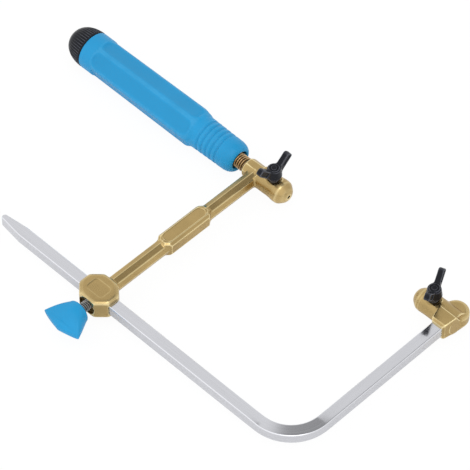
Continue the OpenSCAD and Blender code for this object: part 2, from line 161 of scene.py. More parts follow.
class FretSawCasting(bpy.types.PropertyGroup):
    """Sizes of the two castings."""

    head_length: length("Crosshead length", 19.8, "Crosshead along the bar")
    head_width: length("Crosshead width", 16.8, "Crosshead across the bar")
    head_height: length("Crosshead height", 11.4, "Crosshead from top to bottom")
    head_cut_x: length("Corner cut along", 5.3, "Cut of the crosshead's corners along the bar")
    head_cut_y: length("Corner cut across", 5.2, "Cut of the crosshead's corners across the bar")
    head_bevel: length("Crosshead bevel", 0.9, "Bevel of the crosshead's top and bottom edges")
    arm: length("Arm", 7.4, "Arm across its flats")
    panel_length: length("Panel length", 30.0, "Raised panel along the arm")
    panel_place: length("Panel place", 49.4, "Panel's middle from the blade line")
    panel_width: length("Panel width", 9.3, "Raised panel across the arm")
    panel_height: length("Panel height", 8.8, "Raised panel from top to bottom")
    panel_bevel: length("Panel bevel", 1.5, "Bevel of the panel's edges")
    barrel: length("Barrel", 11.6, "Diameter of the clamp barrels")
    lower_nose: length("Lower nose", 12.2, "Diameter of the lower clamp's nose")
    upper_nose: length("Upper nose", 11.8, "Diameter of the upper clamp's nose")
    rear: length("Rear octagon", 9.4, "Rear of the lower barrel across its flats")
    rear_end: length("Rear end", 27.6, "Rear end of the lower barrel from the nose")
    socket_reach: length("Socket reach", 9.2, "Mouth of the bar socket from the blade line")
    socket_half: length("Socket half height", 4.8, "Half the height of the bar socket")
    boss: length("Boss radius", 6.39, "Radius of the boss that closes the bar socket")
    boss_offset: length("Boss offset", 3.9, "Boss's axis from the blade line")
    boss_top: length("Boss top", 3.6, "Top of the boss above the blade line")
    detail: length("Mesh step", 0.27, "Grid step of the casting's surface")


class FretSawHandle(bpy.types.PropertyGroup):
    """Sizes of the handle, its cap and its stud."""

    neck: length("Neck radius", 8.25, "Radius of the grooved neck at its front")
    neck_rear: length("Neck rear radius", 8.65, "Radius of the grooved neck at the shoulder")
    grip: length("Grip radius", 10.07, "Radius of the grip behind its shoulder")
    grip_rear: length("Grip rear radius", 9.7, "Radius of the grip before the collar")
    collar: length("Collar radius", 9.98, "Radius of the plain collar")
    cap: length("Cap radius", 10.05, "Radius of the end cap at its rim")
    front: length("Front length", 5.5, "Length of the rounded front")
    neck_length: length("Neck length", 25.4, "Distance from the front to the shoulder")
    shoulder: length("Shoulder length", 5.0, "Length of the sloping shoulder")
    collar_length: length("Collar length", 8.5, "Length of the plain collar")
    groove_start: length("First groove", 9.6, "First ring groove from the front")
    groove_step: length("Groove spacing", 3.0, "Spacing of the ring grooves")
    groove_depth: length("Groove depth", 0.5, "Depth of a ring groove")
    flute_depth: length("Flute depth", 1.05, "Depth of a flute")
    flute_radius: length("Flute cutter", 60.0, "Radius of the round bottom of a flute")
    stud_pitch: length("Stud pitch", 1.25, "Pitch of the stud's thread")
    grooves: tally("Ring grooves", 5, "Ring grooves round the neck")
    flutes: tally("Flutes", 6, "Flutes round the grip")
    cap_ribs: tally("Cap ribs", 44, "Fine ribs round the end cap")
    ridge_heading: degrees("Ridge heading", 110.0, "Turn of a ridge between flutes, from +Y")


class FretSawScrews(bpy.types.PropertyGroup):
    """Sizes of the wing screws and of the bar lock."""

    hub: length("Hub diameter", 8.0, "Diameter of a wing head's hub")
    hub_height: length("Hub height", 6.4, "Height of a wing head's hub")
    wing_length: length("Wing length", 11.18, "Length of a wing along its slope")
    wing_width: length("Wing width", 3.8, "Width of a wing across its slope")
    wing_thick: length("Wing thickness", 3.0, "Thickness of a wing")
    wing_slope: degrees("Wing slope", 46.0, "Slope of the wings")
    lower_heading: degrees("Lower heading", 87.0, "Heading of the lower wings")
    upper_heading: degrees("Upper heading", 110.0, "Heading of the upper wings")
    wing_pitch: length("Wing screw pitch", 0.8, "Pitch of the wing screws")
    lock_pitch: length("Lock pitch", 1.0, "Pitch of the bar lock's screw")
    lock_screw: length("Lock screw", 5.1, "Outer diameter of the bar lock's thread")
    knob_shoulder: length("Knob shoulder", 12.0, "Diameter of the knob's round shoulder")
    knob_thick: length("Knob thickness", 7.0, "Thickness of the knob's middle")
    knob_tip: length("Knob tip", 3.2, "Thickness of the knob at its two tips")
    detail: length("Mesh step", 0.2, "Grid step of the wing head's surface")


class FretSawColours(bpy.types.PropertyGroup):
    """Colours of the finishes."""

    casting: colour("Casting", (0.53, 0.38, 0.162), "Satin brass-coloured casting")
    # edge colour of the castings: partly wear, partly painted highlight
    casting_worn_and_lit: colour("Worn casting", (0.95, 0.79, 0.44), "Casting where its edges are rubbed bright")
    stud: colour("Stud", (0.62, 0.42, 0.22), "Crests of the stud's thread")
    turned_brass: colour("Turned brass", (0.70, 0.52, 0.22), "Turned brass of the shoes and the insert")
    chrome: colour("Bar", (0.68, 0.685, 0.72), "Plated bar")
    steel: colour("Steel", (0.46, 0.44, 0.41), "Zinc-plated screws")
    # wing screws darkened as painted shade under the wing hubs
    shaded_steel: colour("Dark steel", (0.10, 0.09, 0.08), "Wing screws darkened as painted shade")
    blue: colour("Blue plastic", (0.0128, 0.313, 0.632), "Handle and knob")
    # ridge colours of the plastics: partly wear, partly painted highlight
    blue_rubbed_and_lit: colour("Rubbed blue plastic", (0.10, 0.46, 0.78), "Blue parts on their ridges")
    black: colour("Black plastic", (0.0028, 0.0038, 0.0085), "Wing heads and end cap")
    black_rubbed_and_lit: colour("Rubbed black plastic", (0.11, 0.116, 0.14), "Black parts on their ridges")


class FretSawStage(bpy.types.PropertyGroup):
    """Camera, lamps and floor."""

    lens: FloatProperty(name="Lens", description="Focal length on a 36 mm sensor", default=252.77, min=1.0)
    distance: length("Distance", 1551.7, "Camera from the point that it looks at")
    azimuth: degrees("Azimuth", 44.837, "Turn of the camera")
    elevation: degrees("Elevation", 50.406, "Camera above the level")
    aim: FloatVectorProperty(name="Aim", description="Point in the middle of the picture", size=3,
                             default=(-0.00188, -0.03454, 0.0), subtype="TRANSLATION", unit="LENGTH")
    key: strength("Key lamp", 0.6, "Power of the large lamp on the left", "POWER")
    top: strength("Top lamp", 1.5, "Power of the lamp overhead", "POWER")
    sky: strength("Sky", 0.93, "Strength of the light all round")
    sky_slope: strength("Sky slope", 0.14, "How much darker the sky is on the right")
    front_glow: strength("Front glow", 0.45, "Extra light round the camera")
    dark_card: strength("Dark card", 0.58, "How much darker the card overhead is")
    floor_glow: strength("Floor glow", 0.92, "Share of plain white in the floor's look")


GROUPS = {
    "fret_saw_bar": FretSawBar,
    "fret_saw_casting": FretSawCasting,
    "fret_saw_handle": FretSawHandle,
    "fret_saw_screws": FretSawScrews,
    "fret_saw_colours": FretSawColours,
    "fret_saw_stage": FretSawStage,
}


class Millimetres:
    """Reads a property group's lengths in millimetres."""

    def __init__(self, group):
        self.group = group

    def __getattr__(self, name):
        return getattr(self.group, name) / MM


# Meshes

def full_circle(count):
    """Equal angles round a full turn."""
    return np.arange(count) * FULL_TURN / count


def smooth_step(share):
    """Goes from 0 to 1 with the share, level at both ends: its square times three less twice the share."""
    share = np.clip(share, 0, 1)
    return share ** 2 * (3 - 2 * share)


def half_wave(share):
    """Goes from 0 to 1 with the share as half a cosine wave."""
    return 0.5 - 0.5 * np.cos(math.pi * np.clip(share, 0, 1))


def soft_max(blend, *fields):
    """Largest of the fields, with the corner between them rounded.

    It is the blend times the log of the summed exponentials of the fields over the blend."""
    top = np.maximum.reduce(np.broadcast_arrays(*fields))
    return top + blend * np.log(sum(np.exp((field - top) / blend) for field in fields))


def soft_min(blend, *fields):
    """Smallest of the fields, with a fillet where they meet."""
    return -soft_max(blend, *[-field for field in fields])


def rounded_rectangle(u, v, half_u, half_v, corner):
    """Distance to a rectangle with round corners: the corner's distance outside, the nearer side's inside."""
    over_u = np.abs(u) - (half_u - corner)
    over_v = np.abs(v) - (half_v - corner)
    outside = np.hypot(np.maximum(over_u, 0), np.maximum(over_v, 0))
    return outside + np.minimum(np.maximum(over_u, over_v), 0) - corner


def sloping(across, slope):
    """Distance square to a face that runs in by slope for each step along, from the distance across to it."""
    return across / math.hypot(1, slope)


def octagon(u, v, across):
    """Distance to an eight-sided bar: the largest of its level, upright and sloping faces."""
    edge_round = 0.09
    u, v = np.abs(u), np.abs(v)
    return soft_max(edge_round, u, v, sloping(u + v, 1)) - across / 2


def bevelled_block(edge_round, place, half, corner, corner_slope, bevel, end_bevel):
    """Distance to a block with cut corners: its sides, ends, top, corners and the bevels of its top edges.

    place has the distances from the middle along, across and up. Ends and corners have the end bevel."""
    past = [part - half_part for part, half_part in zip(place, half)]
    above = past[2] + bevel
    end_above = past[2] + end_bevel
    return soft_max(edge_round, *past, corner, sloping(past[0] + above, 1), sloping(past[1] + end_above, 1),
                    sloping(corner + corner_slope * end_above, corner_slope))


def nose_barrel(back, radius, nose_r, barrel_r, reach):
    """Barrel with a turned nose: two cones that close on the mouth, a cylinder, a cone down and the barrel.

    back is the distance behind the mouth's plane and radius the distance from the axis."""
    edge_round, nose_round, fillet = 0.14, 0.22, 0.2
    shoulder_back, tip_back, tip_r = 4.0, 0.9, 3.75
    collar, fall, fall_length = 1.5, 0.25, 1.6
    barrel_start = math.sqrt(nose_r ** 2 - NOSE_FLAT ** 2)
    shoulder_slope = (nose_r - tip_r) / (shoulder_back - tip_back)
    tip_slope = (tip_r - NOSE_FLAT) / tip_back
    fall_slope = (nose_r - barrel_r + fall) / fall_length
    shoulder = sloping(radius - nose_r + shoulder_slope * (shoulder_back - back), shoulder_slope)
    tip = sloping(radius - NOSE_FLAT - tip_slope * back, tip_slope)
    cone = sloping(radius - nose_r + fall_slope * (back - barrel_start - collar), fall_slope)
    front = soft_max(nose_round, radius - nose_r, shoulder, tip)
    nose = soft_max(edge_round, front, -back, cone, back - reach)
    barrel = soft_max(edge_round, radius - barrel_r, barrel_start - back, back - reach)
    return soft_min(fillet, nose, barrel)


def clamp_holes(solid, back, y, z):
    """Cuts the blade hole, the screw hole and the flat seat of a wing screw out of a barrel."""
    lip = 0.07
    blade_r, blade_depth = 1.0, 14.0
    screw_back, screw_r, floor_z = 10.2, 2.55, -0.4
    blade = np.maximum(np.hypot(y, z) - blade_r, back - blade_depth)
    from_screw = np.hypot(back - screw_back, y)
    screw = np.maximum(from_screw - screw_r, floor_z - z)
    seat = np.maximum(from_screw - WING_SEAT_R, WING_SEAT_Z - z)
    return soft_max(lip, solid, -blade, -screw, -seat)


def crosshead_field(x, y, z, size):
    """Distance to the long octagon block with bevelled edges, and to what is left of its holes.

    The bar, the lock screw and a shallow recess cut it."""
    edge_round, lip = 0.26, 0.1
    slide_room, screw_r = 0.15, 2.7
    recess_length, recess_width, recess_depth = 10.0, 7.0, 0.1
    half = np.array([size.head_length, size.head_width, size.head_height]) / 2
    beside, ahead = x - ARM_X, y - BAR_Y
    u, v = np.abs(beside), np.abs(ahead)
    cut_x, cut_y = size.head_cut_x, size.head_cut_y
    cut_length = math.hypot(cut_x, cut_y)
    corner = (cut_y * (u - half[0]) + cut_x * (v - half[1] + cut_y)) / cut_length
    block = bevelled_block(edge_round, (u, v, np.abs(z)), half, corner, (cut_x + cut_y) / cut_length,
                           size.head_bevel, size.head_bevel)
    channel_half = BAR_SIDE / 2 + slide_room
    channel = rounded_rectangle(ahead, z, channel_half, channel_half, CHANNEL_CORNER)
    from_screw = np.hypot(beside, z)
    screw = np.maximum(from_screw - screw_r, ahead)
    bore = np.maximum(from_screw - LOCK_BORE_R, ahead + half[1] - LOCK_BORE_DEPTH)
    recess_plan = rounded_rectangle(beside, ahead, recess_length / 2, recess_width / 2, recess_width / 4)
    recess = np.maximum(recess_plan, half[2] - recess_depth - z)
    return block, soft_max(lip, -channel, -screw, -bore, -recess)


def panel_field(x, y, z, size):
    """Distance to the raised panel, a long plate with cut corners and bevels, and to its sunk, bare field."""
    edge_round = 0.1
    end_share, end_bevel_share = 1 / 3.6, 0.5
    margin, depth, corner_share = 0.35, 0.13, 0.96
    half = np.array([size.panel_width, size.panel_length, size.panel_height]) / 2
    beside, along = x - ARM_X, y + size.panel_place
    u, v = np.abs(beside), np.abs(along)
    corner = sloping(u + v - half[0] - half[1] + end_share * size.panel_width, 1)
    plate = bevelled_block(edge_round, (u, v, np.abs(z)), half, corner, math.sqrt(2),
                           size.panel_bevel, end_bevel_share * size.panel_bevel)
    field_x = half[0] - size.panel_bevel - margin
    field_y = half[1] - size.panel_bevel - 2 * margin
    sunk_plan = rounded_rectangle(beside, along, field_x, field_y, corner_share * field_x)
    return plate, -np.maximum(sunk_plan, half[2] - depth - z)


def arm_casting_field(x, y, z, size):
    """Distance to the lower casting: crosshead, arm, panel and barrel joined with fillets, then its holes.

    The arm's octagon is turned so that an edge lies on top."""
    fillet, lip = 0.45, 0.08
    edge_up = math.pi / 8
    end_chamfer, chamfer_slope = 1.2, 1.5
    block, head_holes = crosshead_field(x, y, z, size)
    plate, sunk = panel_field(x, y, z, size)
    arm_start = BAR_Y + size.head_width / 2 - size.head_bevel
    beside = x - ARM_X
    turned_x = beside * math.cos(edge_up) - z * math.sin(edge_up)
    turned_z = beside * math.sin(edge_up) + z * math.cos(edge_up)
    arm = np.maximum(octagon(turned_x, turned_z, size.arm), np.maximum(y, arm_start - y))
    radius = np.hypot(y, z)
    round_reach = -ARM_X - size.arm / 3
    barrel = nose_barrel(-x, radius, size.lower_nose / 2, size.barrel / 2, round_reach)
    behind = x + size.rear_end
    end_r = (size.rear - end_chamfer) / 2
    end_cone = sloping(radius - end_r - chamfer_slope * behind, chamfer_slope)
    rear_length = size.rear_end + ARM_X + size.arm
    rear = soft_max(lip, octagon(y, z, size.rear), -behind, behind - rear_length, end_cone)
    joined = soft_min(fillet, block, plate, arm, barrel, rear)
    return clamp_holes(soft_max(lip, joined, head_holes, sunk), -x, y, z)


def upper_casting_field(x, y, z, size):
    """Distance to the upper casting: nose barrel, flared and roofed socket and round boss, then its holes."""
    fillet, edge_round, lip = 0.2, 0.13, 0.07
    mouth_wall, flare_growth, flare_rise, barrel_inset = 0.9, 1.55, 1.6, 0.7
    ridge_y, ridge_z, front_slope, back_slope = -1.5, 6.4, 0.2, 1.6
    lip_cut, edge_cut, boss_rim = 0.9, 0.5, 2.4
    seat_room, pin_r, pin_top = 0.02, 1.27, 3.9
    back, across = x - JAW_X, x - LEG_X
    aside = np.abs(across)
    mouth_half = BAR_SIDE / 2 + mouth_wall
    flare_end = mouth_half + flare_growth
    barrel_reach = LEG_X + flare_end - barrel_inset - JAW_X
    barrel = nose_barrel(back, np.hypot(y, z), size.upper_nose / 2, size.barrel / 2, barrel_reach)
    flare = flare_rise / size.socket_reach
    before_mouth = y + size.socket_reach
    past_lip = lip_cut - before_mouth
    past_side = aside - mouth_half - flare * before_mouth
    past_ridge = y - ridge_y
    socket = soft_max(edge_round, sloping(past_side, flare),
                      sloping(z - ridge_z - front_slope * past_ridge, front_slope),
                      sloping(z - ridge_z + back_slope * past_ridge, back_slope),
                      -size.socket_half - z, -before_mouth,
                      sloping(aside - mouth_half + past_lip, 1),
                      sloping(np.abs(z) - size.socket_half + past_lip, 1),
                      sloping(past_side - z - size.socket_half + edge_cut, 1),
                      y - size.barrel / 2, aside - flare_end)
    boss_middle = (size.boss_top - size.socket_half) / 2
    boss_half = (size.boss_top + size.socket_half) / 2
    from_boss = np.hypot(across, y - size.boss_offset)
    boss = rounded_rectangle(from_boss, z - boss_middle, size.boss, boss_half, boss_rim)
    joined = soft_min(fillet, barrel, socket, boss)
    channel_half = BAR_SIDE / 2 + seat_room
    channel = rounded_rectangle(across, z, channel_half, channel_half, CHANNEL_CORNER)
    channel = np.maximum(channel, y - BAR_HIGH[1] - seat_room)
    pin = np.maximum(np.hypot(across, y + size.socket_reach / 2) - pin_r, z - pin_top)
    return clamp_holes(soft_max(lip, joined, -channel, -pin), back, y, z)


def wing_head_field(x, y, z, size, slope):
    """Distance to a wing head: a foot, a conical hub with a ring on top and two sloping ears with webs."""
    fillet, edge_round, web_round, groove_round = 0.35, 0.16, 0.1, 0.08
    foot_r, foot_height, hub_fall, root_share = 3.1, 1.4, 0.7, 0.42
    ring_r, ring_height, ring_groove, groove_r = 2.8, 0.5, 1.9, 0.42
    web_out, web_ends, web_sides, web_corner, web_depth = 1.9, 2.6, 0.75, 0.7, 0.4
    radius = np.hypot(x, y)
    foot = soft_max(edge_round, radius - foot_r, -z, z - 2 * foot_height)
    lean = hub_fall / (size.hub_height - foot_height)
    hub = soft_max(edge_round, radius - size.hub / 2 + lean * (z - foot_height), foot_height - z,
                   z - size.hub_height)
    ring_top = size.hub_height + ring_height
    ring = soft_max(edge_round, radius - ring_r, size.hub_height - ring_height - z, z - ring_top)
    groove = groove_r - np.hypot(radius - ring_groove, z - ring_top)
    half_length, half_width, half_thick = size.wing_length / 2, size.wing_width / 2, size.wing_thick / 2
    out = np.abs(x) - WING_ROOT
    up = z - root_share * size.hub_height
    along = out * math.cos(slope) + up * math.sin(slope) - half_length
    across = up * math.cos(slope) - out * math.sin(slope)
    ear_plan = rounded_rectangle(along, across, half_length, half_width, size.wing_width / 3)
    ear = soft_max(edge_round, ear_plan, np.abs(y) - half_thick)
    web_x, web_y = half_length - web_ends, half_width - web_sides
    web_plan = rounded_rectangle(along - web_out, across, web_x, web_y, web_corner)
    web = np.maximum(web_plan, half_thick - web_depth - np.abs(y))
    ear = soft_max(web_round, ear, -web)
    body = soft_min(fillet, soft_min(web_round, foot, hub, ring), ear)
    return soft_max(groove_round, body, groove)


def net_surface(shape, low, high, step):
    """Closed surface where a field is zero, on a grid of equal cells.

    Each cell that the surface crosses gets one point, the mean of the crossings on its twelve edges, and each
    grid edge that changes sign gets one quad between its four cells. The points are then moved onto the
    surface along the field's gradient: point minus field times gradient over the gradient's square."""
    counts = np.ceil((high - low) / step).astype(int) + 1
    axes = [low[i] + step * np.arange(counts[i]) for i in range(3)]
    field = shape(axes[0][:, None, None], axes[1][None, :, None], axes[2][None, None, :])
    field = np.broadcast_to(field, counts)
    cell_counts = counts - 1
    cells, crossings, corners = [], [], []
    for axis in range(3):
        near = np.moveaxis(field, axis, 0)[:-1]
        far = np.moveaxis(field, axis, 0)[1:]
        place = np.argwhere((near < 0) != (far < 0))
        start = near[tuple(place.T)]
        share = start / (start - far[tuple(place.T)])
        others = [i for i in range(3) if i != axis]
        edge = np.empty_like(place)
        edge[:, axis] = place[:, 0]
        edge[:, others] = place[:, 1:]
        inner = np.all((edge[:, others] > 0) & (edge[:, others] < cell_counts[others]), axis=1)
        edge, share, start = edge[inner], share[inner], start[inner]
        point = edge.astype(float)
        point[:, axis] += share
        ring = []
        for back_one, back_two in ((1, 1), (0, 1), (0, 0), (1, 0)):
            cell = edge.copy()
            cell[:, others[0]] -= back_one
            cell[:, others[1]] -= back_two
            ring.append(np.ravel_multi_index(cell.T, cell_counts))
        ring = np.stack(ring, axis=1)
        flip = (start < 0) == (axis == 1)
        ring[flip] = ring[flip][:, ::-1]
        corners.append(ring)
        cells.append(ring.ravel())
        crossings.append(np.repeat(point, 4, axis=0))
    cells = np.concatenate(cells)
    crossings = np.concatenate(crossings)
    used, member = np.unique(cells, return_inverse=True)
    total = np.bincount(member)
    points = np.stack([np.bincount(member, crossings[:, i]) / total for i in range(3)], axis=1)
    points = low + step * points
    faces = np.searchsorted(used, np.concatenate(corners)).tolist()
    probe, least_steepness, farthest = 0.02 * step, 0.2, 0.4 * step
    for _ in range(2):
        value = shape(*points.T)
        gradient = np.stack([shape(*(points + probe * side).T) - shape(*(points - probe * side).T)
                             for side in np.eye(3)], axis=1) / (2 * probe)
        steepness = np.maximum((gradient ** 2).sum(axis=1), least_steepness)
        move = (value / steepness)[:, None] * gradient
        points = points - np.clip(move, -farthest, farthest)
    return points, faces


def skin(rings, start, end):
    """Quads between neighbouring closed rings, and a fan of triangles to a point at each end."""
    count, around = rings.shape[:2]
    index = np.arange(count * around).reshape(count, around)
    ahead = np.roll(index, -1, axis=1)
    faces = np.stack((index[:-1], ahead[:-1], ahead[1:], index[1:]), axis=-1).reshape(-1, 4).tolist()
    first = np.full(around, count * around)
    faces += np.stack((first, ahead[0], index[0]), axis=-1).tolist()
    faces += np.stack((first + 1, index[-1], ahead[-1]), axis=-1).tolist()
    return np.vstack((rings.reshape(-1, 3), start, end)), faces


def revolve(stations, radii, around, x_start):
    """Rings about the X axis that run from x_start towards -X: each station's ring has its radius.

    radii is one number for each station, or one for each station and angle."""
    angle = full_circle(around)
    radii = np.broadcast_to(np.asarray(radii).reshape(len(stations), -1), (len(stations), around))
    x = np.broadcast_to(x_start - stations[:, None], radii.shape)
    return np.stack((x, radii * np.cos(angle), radii * np.sin(angle)), axis=-1)


def thread(axis_length, pitch, crest, around, per_turn, lead):
    """Rings of a screw thread along +Z, and their marks.

    The radius is the crest less a rounded saw-tooth of the height over the pitch minus the turned share of
    a full turn, and it shrinks to the root at both ends over the lead."""
    depth_share, flank, root_width = 0.6, 1.25, 0.1
    rows = int(axis_length / pitch * per_turn) + 1
    height = np.linspace(0, axis_length, rows)[:, None]
    angle = full_circle(around)[None, :]
    phase = (height / pitch - angle / FULL_TURN) % 1.0
    tooth = np.clip(flank * np.abs(2 * phase - 1) - root_width, 0, 1)
    tooth = tooth * np.clip(np.minimum(height, axis_length - height) / lead, 0, 1)
    radius = crest - depth_share * pitch * (1 - tooth)
    height = np.broadcast_to(height, radius.shape)
    return np.stack((radius * np.cos(angle), radius * np.sin(angle), height), axis=-1), tooth.ravel()


def outward(points, faces):
    """The faces, turned round if the closed surface's volume comes out negative."""
    quads = np.array([face if len(face) == 4 else [*face, face[-1]] for face in faces])
    a, b, c, d = (points[quads[:, i]] for i in range(4))
    volume = np.einsum("ij,ij->", a, np.cross(b, c)) + np.einsum("ij,ij->", a, np.cross(c, d))
    if volume < 0:
        return [list(reversed(face)) for face in faces]
    return faces


def neighbours_mean(values, edges):
    """Mean of each vertex's neighbours."""
    count = np.bincount(edges.ravel(), minlength=len(values))
    total = np.zeros_like(values)
    np.add.at(total, edges[:, 0], values[edges[:, 1]])
    np.add.at(total, edges[:, 1], values[edges[:, 0]])
    return total / count.reshape((-1,) + (1,) * (values.ndim - 1))


def edge_marks(mesh, points):
    """How sharply each vertex stands out: its offset from its neighbours' mean along the normal, over the
    square of the edge length, as about 1 on a ridge, 0 on a flat and -1 in a corner."""
    gain, passes = 2.6, 2
    edges = np.empty(2 * len(mesh.edges), dtype=np.int32)
    mesh.edges.foreach_get("vertices", edges)
    edges = edges.reshape(-1, 2)
    normals = np.empty(3 * len(points), dtype=np.float32)
    mesh.vertex_normals.foreach_get("vector", normals)
    offset = points - neighbours_mean(points, edges)
    span = (np.linalg.norm(points[edges[:, 0]] - points[edges[:, 1]], axis=1) ** 2).mean()
    bend = np.tanh(gain * (offset * normals.reshape(-1, 3)).sum(axis=1) / span)
    for _ in range(passes):
        bend = (bend + neighbours_mean(bend, edges)) / 2
    return bend


def make_piece(name, surface, body, finish, node, marks=None, laid=None, painted_shade_share=None):
    """Makes a smooth-shaded mesh from points in millimetres in place of a CAD node, with its attributes.

    Marks may leave out the closing points. Painted shade, from 0 to 1, makes points in holes and seats count
    as corners, which their finish darkens."""
    points, faces = surface
    mesh = bpy.data.meshes.new(name)
    mesh.from_pydata((points * MM).tolist(), [], outward(points, faces))
    mesh.validate()
    mesh.shade_smooth()
    marks = edge_marks(mesh, points) if marks is None else np.ravel(marks)
    marks = np.pad(marks, (0, len(points) - len(marks)))
    # points in holes and seats get a negative mark, so that their finish darkens them as painted shade
    if painted_shade_share is not None:
        marks = np.where(painted_shade_share > 0, -painted_shade_share, marks)
    stored = mesh.attributes.new("edge_mark", "FLOAT", "POINT")
    stored.data.foreach_set("value", marks.astype(np.float32))
    if laid is not None:
        stored = mesh.attributes.new("laid_straight", "FLOAT_VECTOR", "POINT")
        stored.data.foreach_set("vector", (np.asarray(laid) * MM).astype(np.float32).ravel())
    mesh.materials.append(finish_named(finish))
    piece = bpy.data.objects.new(name, mesh)
    bpy.context.scene.collection.objects.link(piece)
    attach(piece, body)
    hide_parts(node)


# Finishes

class Wire:
    """A shader socket that plain arithmetic works on: each step adds a Math node to its tree."""

    def __init__(self, tree, socket=None):
        self.tree = tree
        self.socket = socket

    def node(self, kind, settings=None, inputs=None, output=0):
        """Adds a node. Its settings come first, then each socket gets a number, a colour or a wire."""
        made = self.tree.nodes.new(kind)
        for name, value in (settings or {}).items():
            setattr(made, name, value)
        for name, value in (inputs or {}).items():
            if isinstance(value, Wire):
                self.tree.links.new(value.socket, made.inputs[name])
            else:
                made.inputs[name].default_value = value
        return Wire(self.tree, made.outputs[output] if made.outputs else None)

    def math(self, operation, first, second=0.0, clamp=False):
        settings = {"operation": operation, "use_clamp": clamp}
        return self.node("ShaderNodeMath", settings, {0: first, 1: second})

    def __add__(self, other):
        return self.math("ADD", self, other)

    def __sub__(self, other):
        return self.math("SUBTRACT", self, other)

    def __mul__(self, other):
        return self.math("MULTIPLY", self, other)

    def __rsub__(self, other):
        return self.math("SUBTRACT", other, self)

    __radd__ = __add__
    __rmul__ = __mul__

    def past(self, start, gain):
        """How far the value is past a start, times a gain."""
        return (self - start) * gain

    def clipped(self):
        """The value held between 0 and 1."""
        return self.math("ADD", self, 0.0, clamp=True)

    def mixed(self, low, high):
        """A colour between low, where this value is 0, and high, where it is 1."""
        return self.node("ShaderNodeMix", {"data_type": "RGBA"}, {0: self, 6: low, 7: high}, output=2)


def opaque(rgb, gain=1.0):
    """A colour with full alpha, made lighter or darker by a gain."""
    return tuple(min(1.0, gain * part) for part in rgb) + (1.0,)


def start_material(name):
    """A new material with an empty tree, and a wire that adds nodes to it."""
    material = bpy.data.materials.new(name)
    material.use_nodes = True
    material.node_tree.nodes.clear()
    return material, Wire(material.node_tree)


def noise(wire, vector, scale, detail=2.0, rough=0.5):
    return wire.node("ShaderNodeTexNoise", None,
                     {"Vector": vector, "Scale": scale, "Detail": detail, "Roughness": rough})


def stretched(wire, vector, scale, place=(0.0, 0.0, 0.0)):
    return wire.node("ShaderNodeMapping", None, {"Vector": vector, "Location": place, "Scale": scale})


def object_place(wire):
    return wire.node("ShaderNodeTexCoord", None, None, output=3)


def attribute(wire, name, output):
    return wire.node("ShaderNodeAttribute", {"attribute_name": name}, None, output=output)


def close_material(wire, base, roughness, metallic, height, bump, distance, **constants):
    """Joins colour, roughness and bump into one surface. Constants sit on the shader's own sockets."""
    normal = wire.node("ShaderNodeBump", None, {"Strength": bump, "Distance": distance, "Height": height})
    values = {"Base Color": base, "Roughness": roughness, "Metallic": metallic, "Normal": normal}
    for name, value in constants.items():
        values[name.replace("_", " ")] = value
    shader = wire.node("ShaderNodeBsdfPrincipled", None, values)
    wire.node("ShaderNodeOutputMaterial", None, {"Surface": shader})


def casting_finish(name, rgb, worn_and_lit_rgb):
    """Satin die-cast brass colour: cloudy tone, fine grain, edges lightened by wear and painted highlight,
    and painted shade in corners, bores and seats.
    """
    material, wire = start_material(name)
    dark, light, shade_tone = opaque(rgb, 0.86), opaque(rgb, 1.1), opaque(rgb, 0.14)
    place = object_place(wire)
    cloud = noise(wire, place, scale=70.0, detail=3.0)
    grain = noise(wire, place, scale=2300.0, detail=3.0, rough=0.6)
    pits = noise(wire, place, scale=700.0)
    mark = attribute(wire, "edge_mark", 2)
    # convex edges lightened partly as wear and partly as a painted highlight
    worn_and_lit_edge = (mark.past(0.12, 2.5) + cloud.past(0.5, 0.7)).clipped()
    # painted shade: concave corners, bores and seats darken towards a near-black tone
    corner_shade = (mark * -1.6 - 0.6).clipped()
    tone = cloud.past(0.35, 2.6).clipped().mixed(dark, light)
    tone = (corner_shade * 0.62).mixed(tone, shade_tone)
    tone = (worn_and_lit_edge * 0.8).mixed(tone, opaque(worn_and_lit_rgb))
    roughness = 0.30 + grain.past(0.5, 0.14) + cloud.past(0.5, 0.12) - worn_and_lit_edge * 0.1 + corner_shade * 0.15
    height = grain * 0.7 + pits * 0.5
    close_material(wire, tone, roughness, metallic=1.0, height=height, bump=0.14, distance=0.00006)
    return material


def plated_bar_finish(name, rgb):
    """Plated bar: fine drawn lines along the bar, cloudy haze and a painted highlight on the long edges."""
    material, wire = start_material(name)
    dark, light, edge = opaque(rgb, 0.93), opaque(rgb, 1.05), opaque(rgb, 1.32)
    laid = attribute(wire, "laid_straight", 1)
    lines = noise(wire, stretched(wire, laid, (30.0, 2600.0, 2600.0)), scale=1.0, detail=3.0, rough=0.6)
    haze = noise(wire, stretched(wire, laid, (40.0, 160.0, 160.0)), scale=1.0, detail=3.0)
    mark = attribute(wire, "edge_mark", 2)
    tone = lines.past(0.3, 2.0).clipped().mixed(dark, light)
    # painted highlight along the bar's long rounded edges
    tone = (mark * 0.8).clipped().mixed(tone, edge)
    roughness = 0.15 + lines.past(0.5, 0.16) + haze.past(0.5, 0.14)
    close_material(wire, tone, roughness, metallic=1.0, height=lines, bump=0.08, distance=0.00003)
    return material


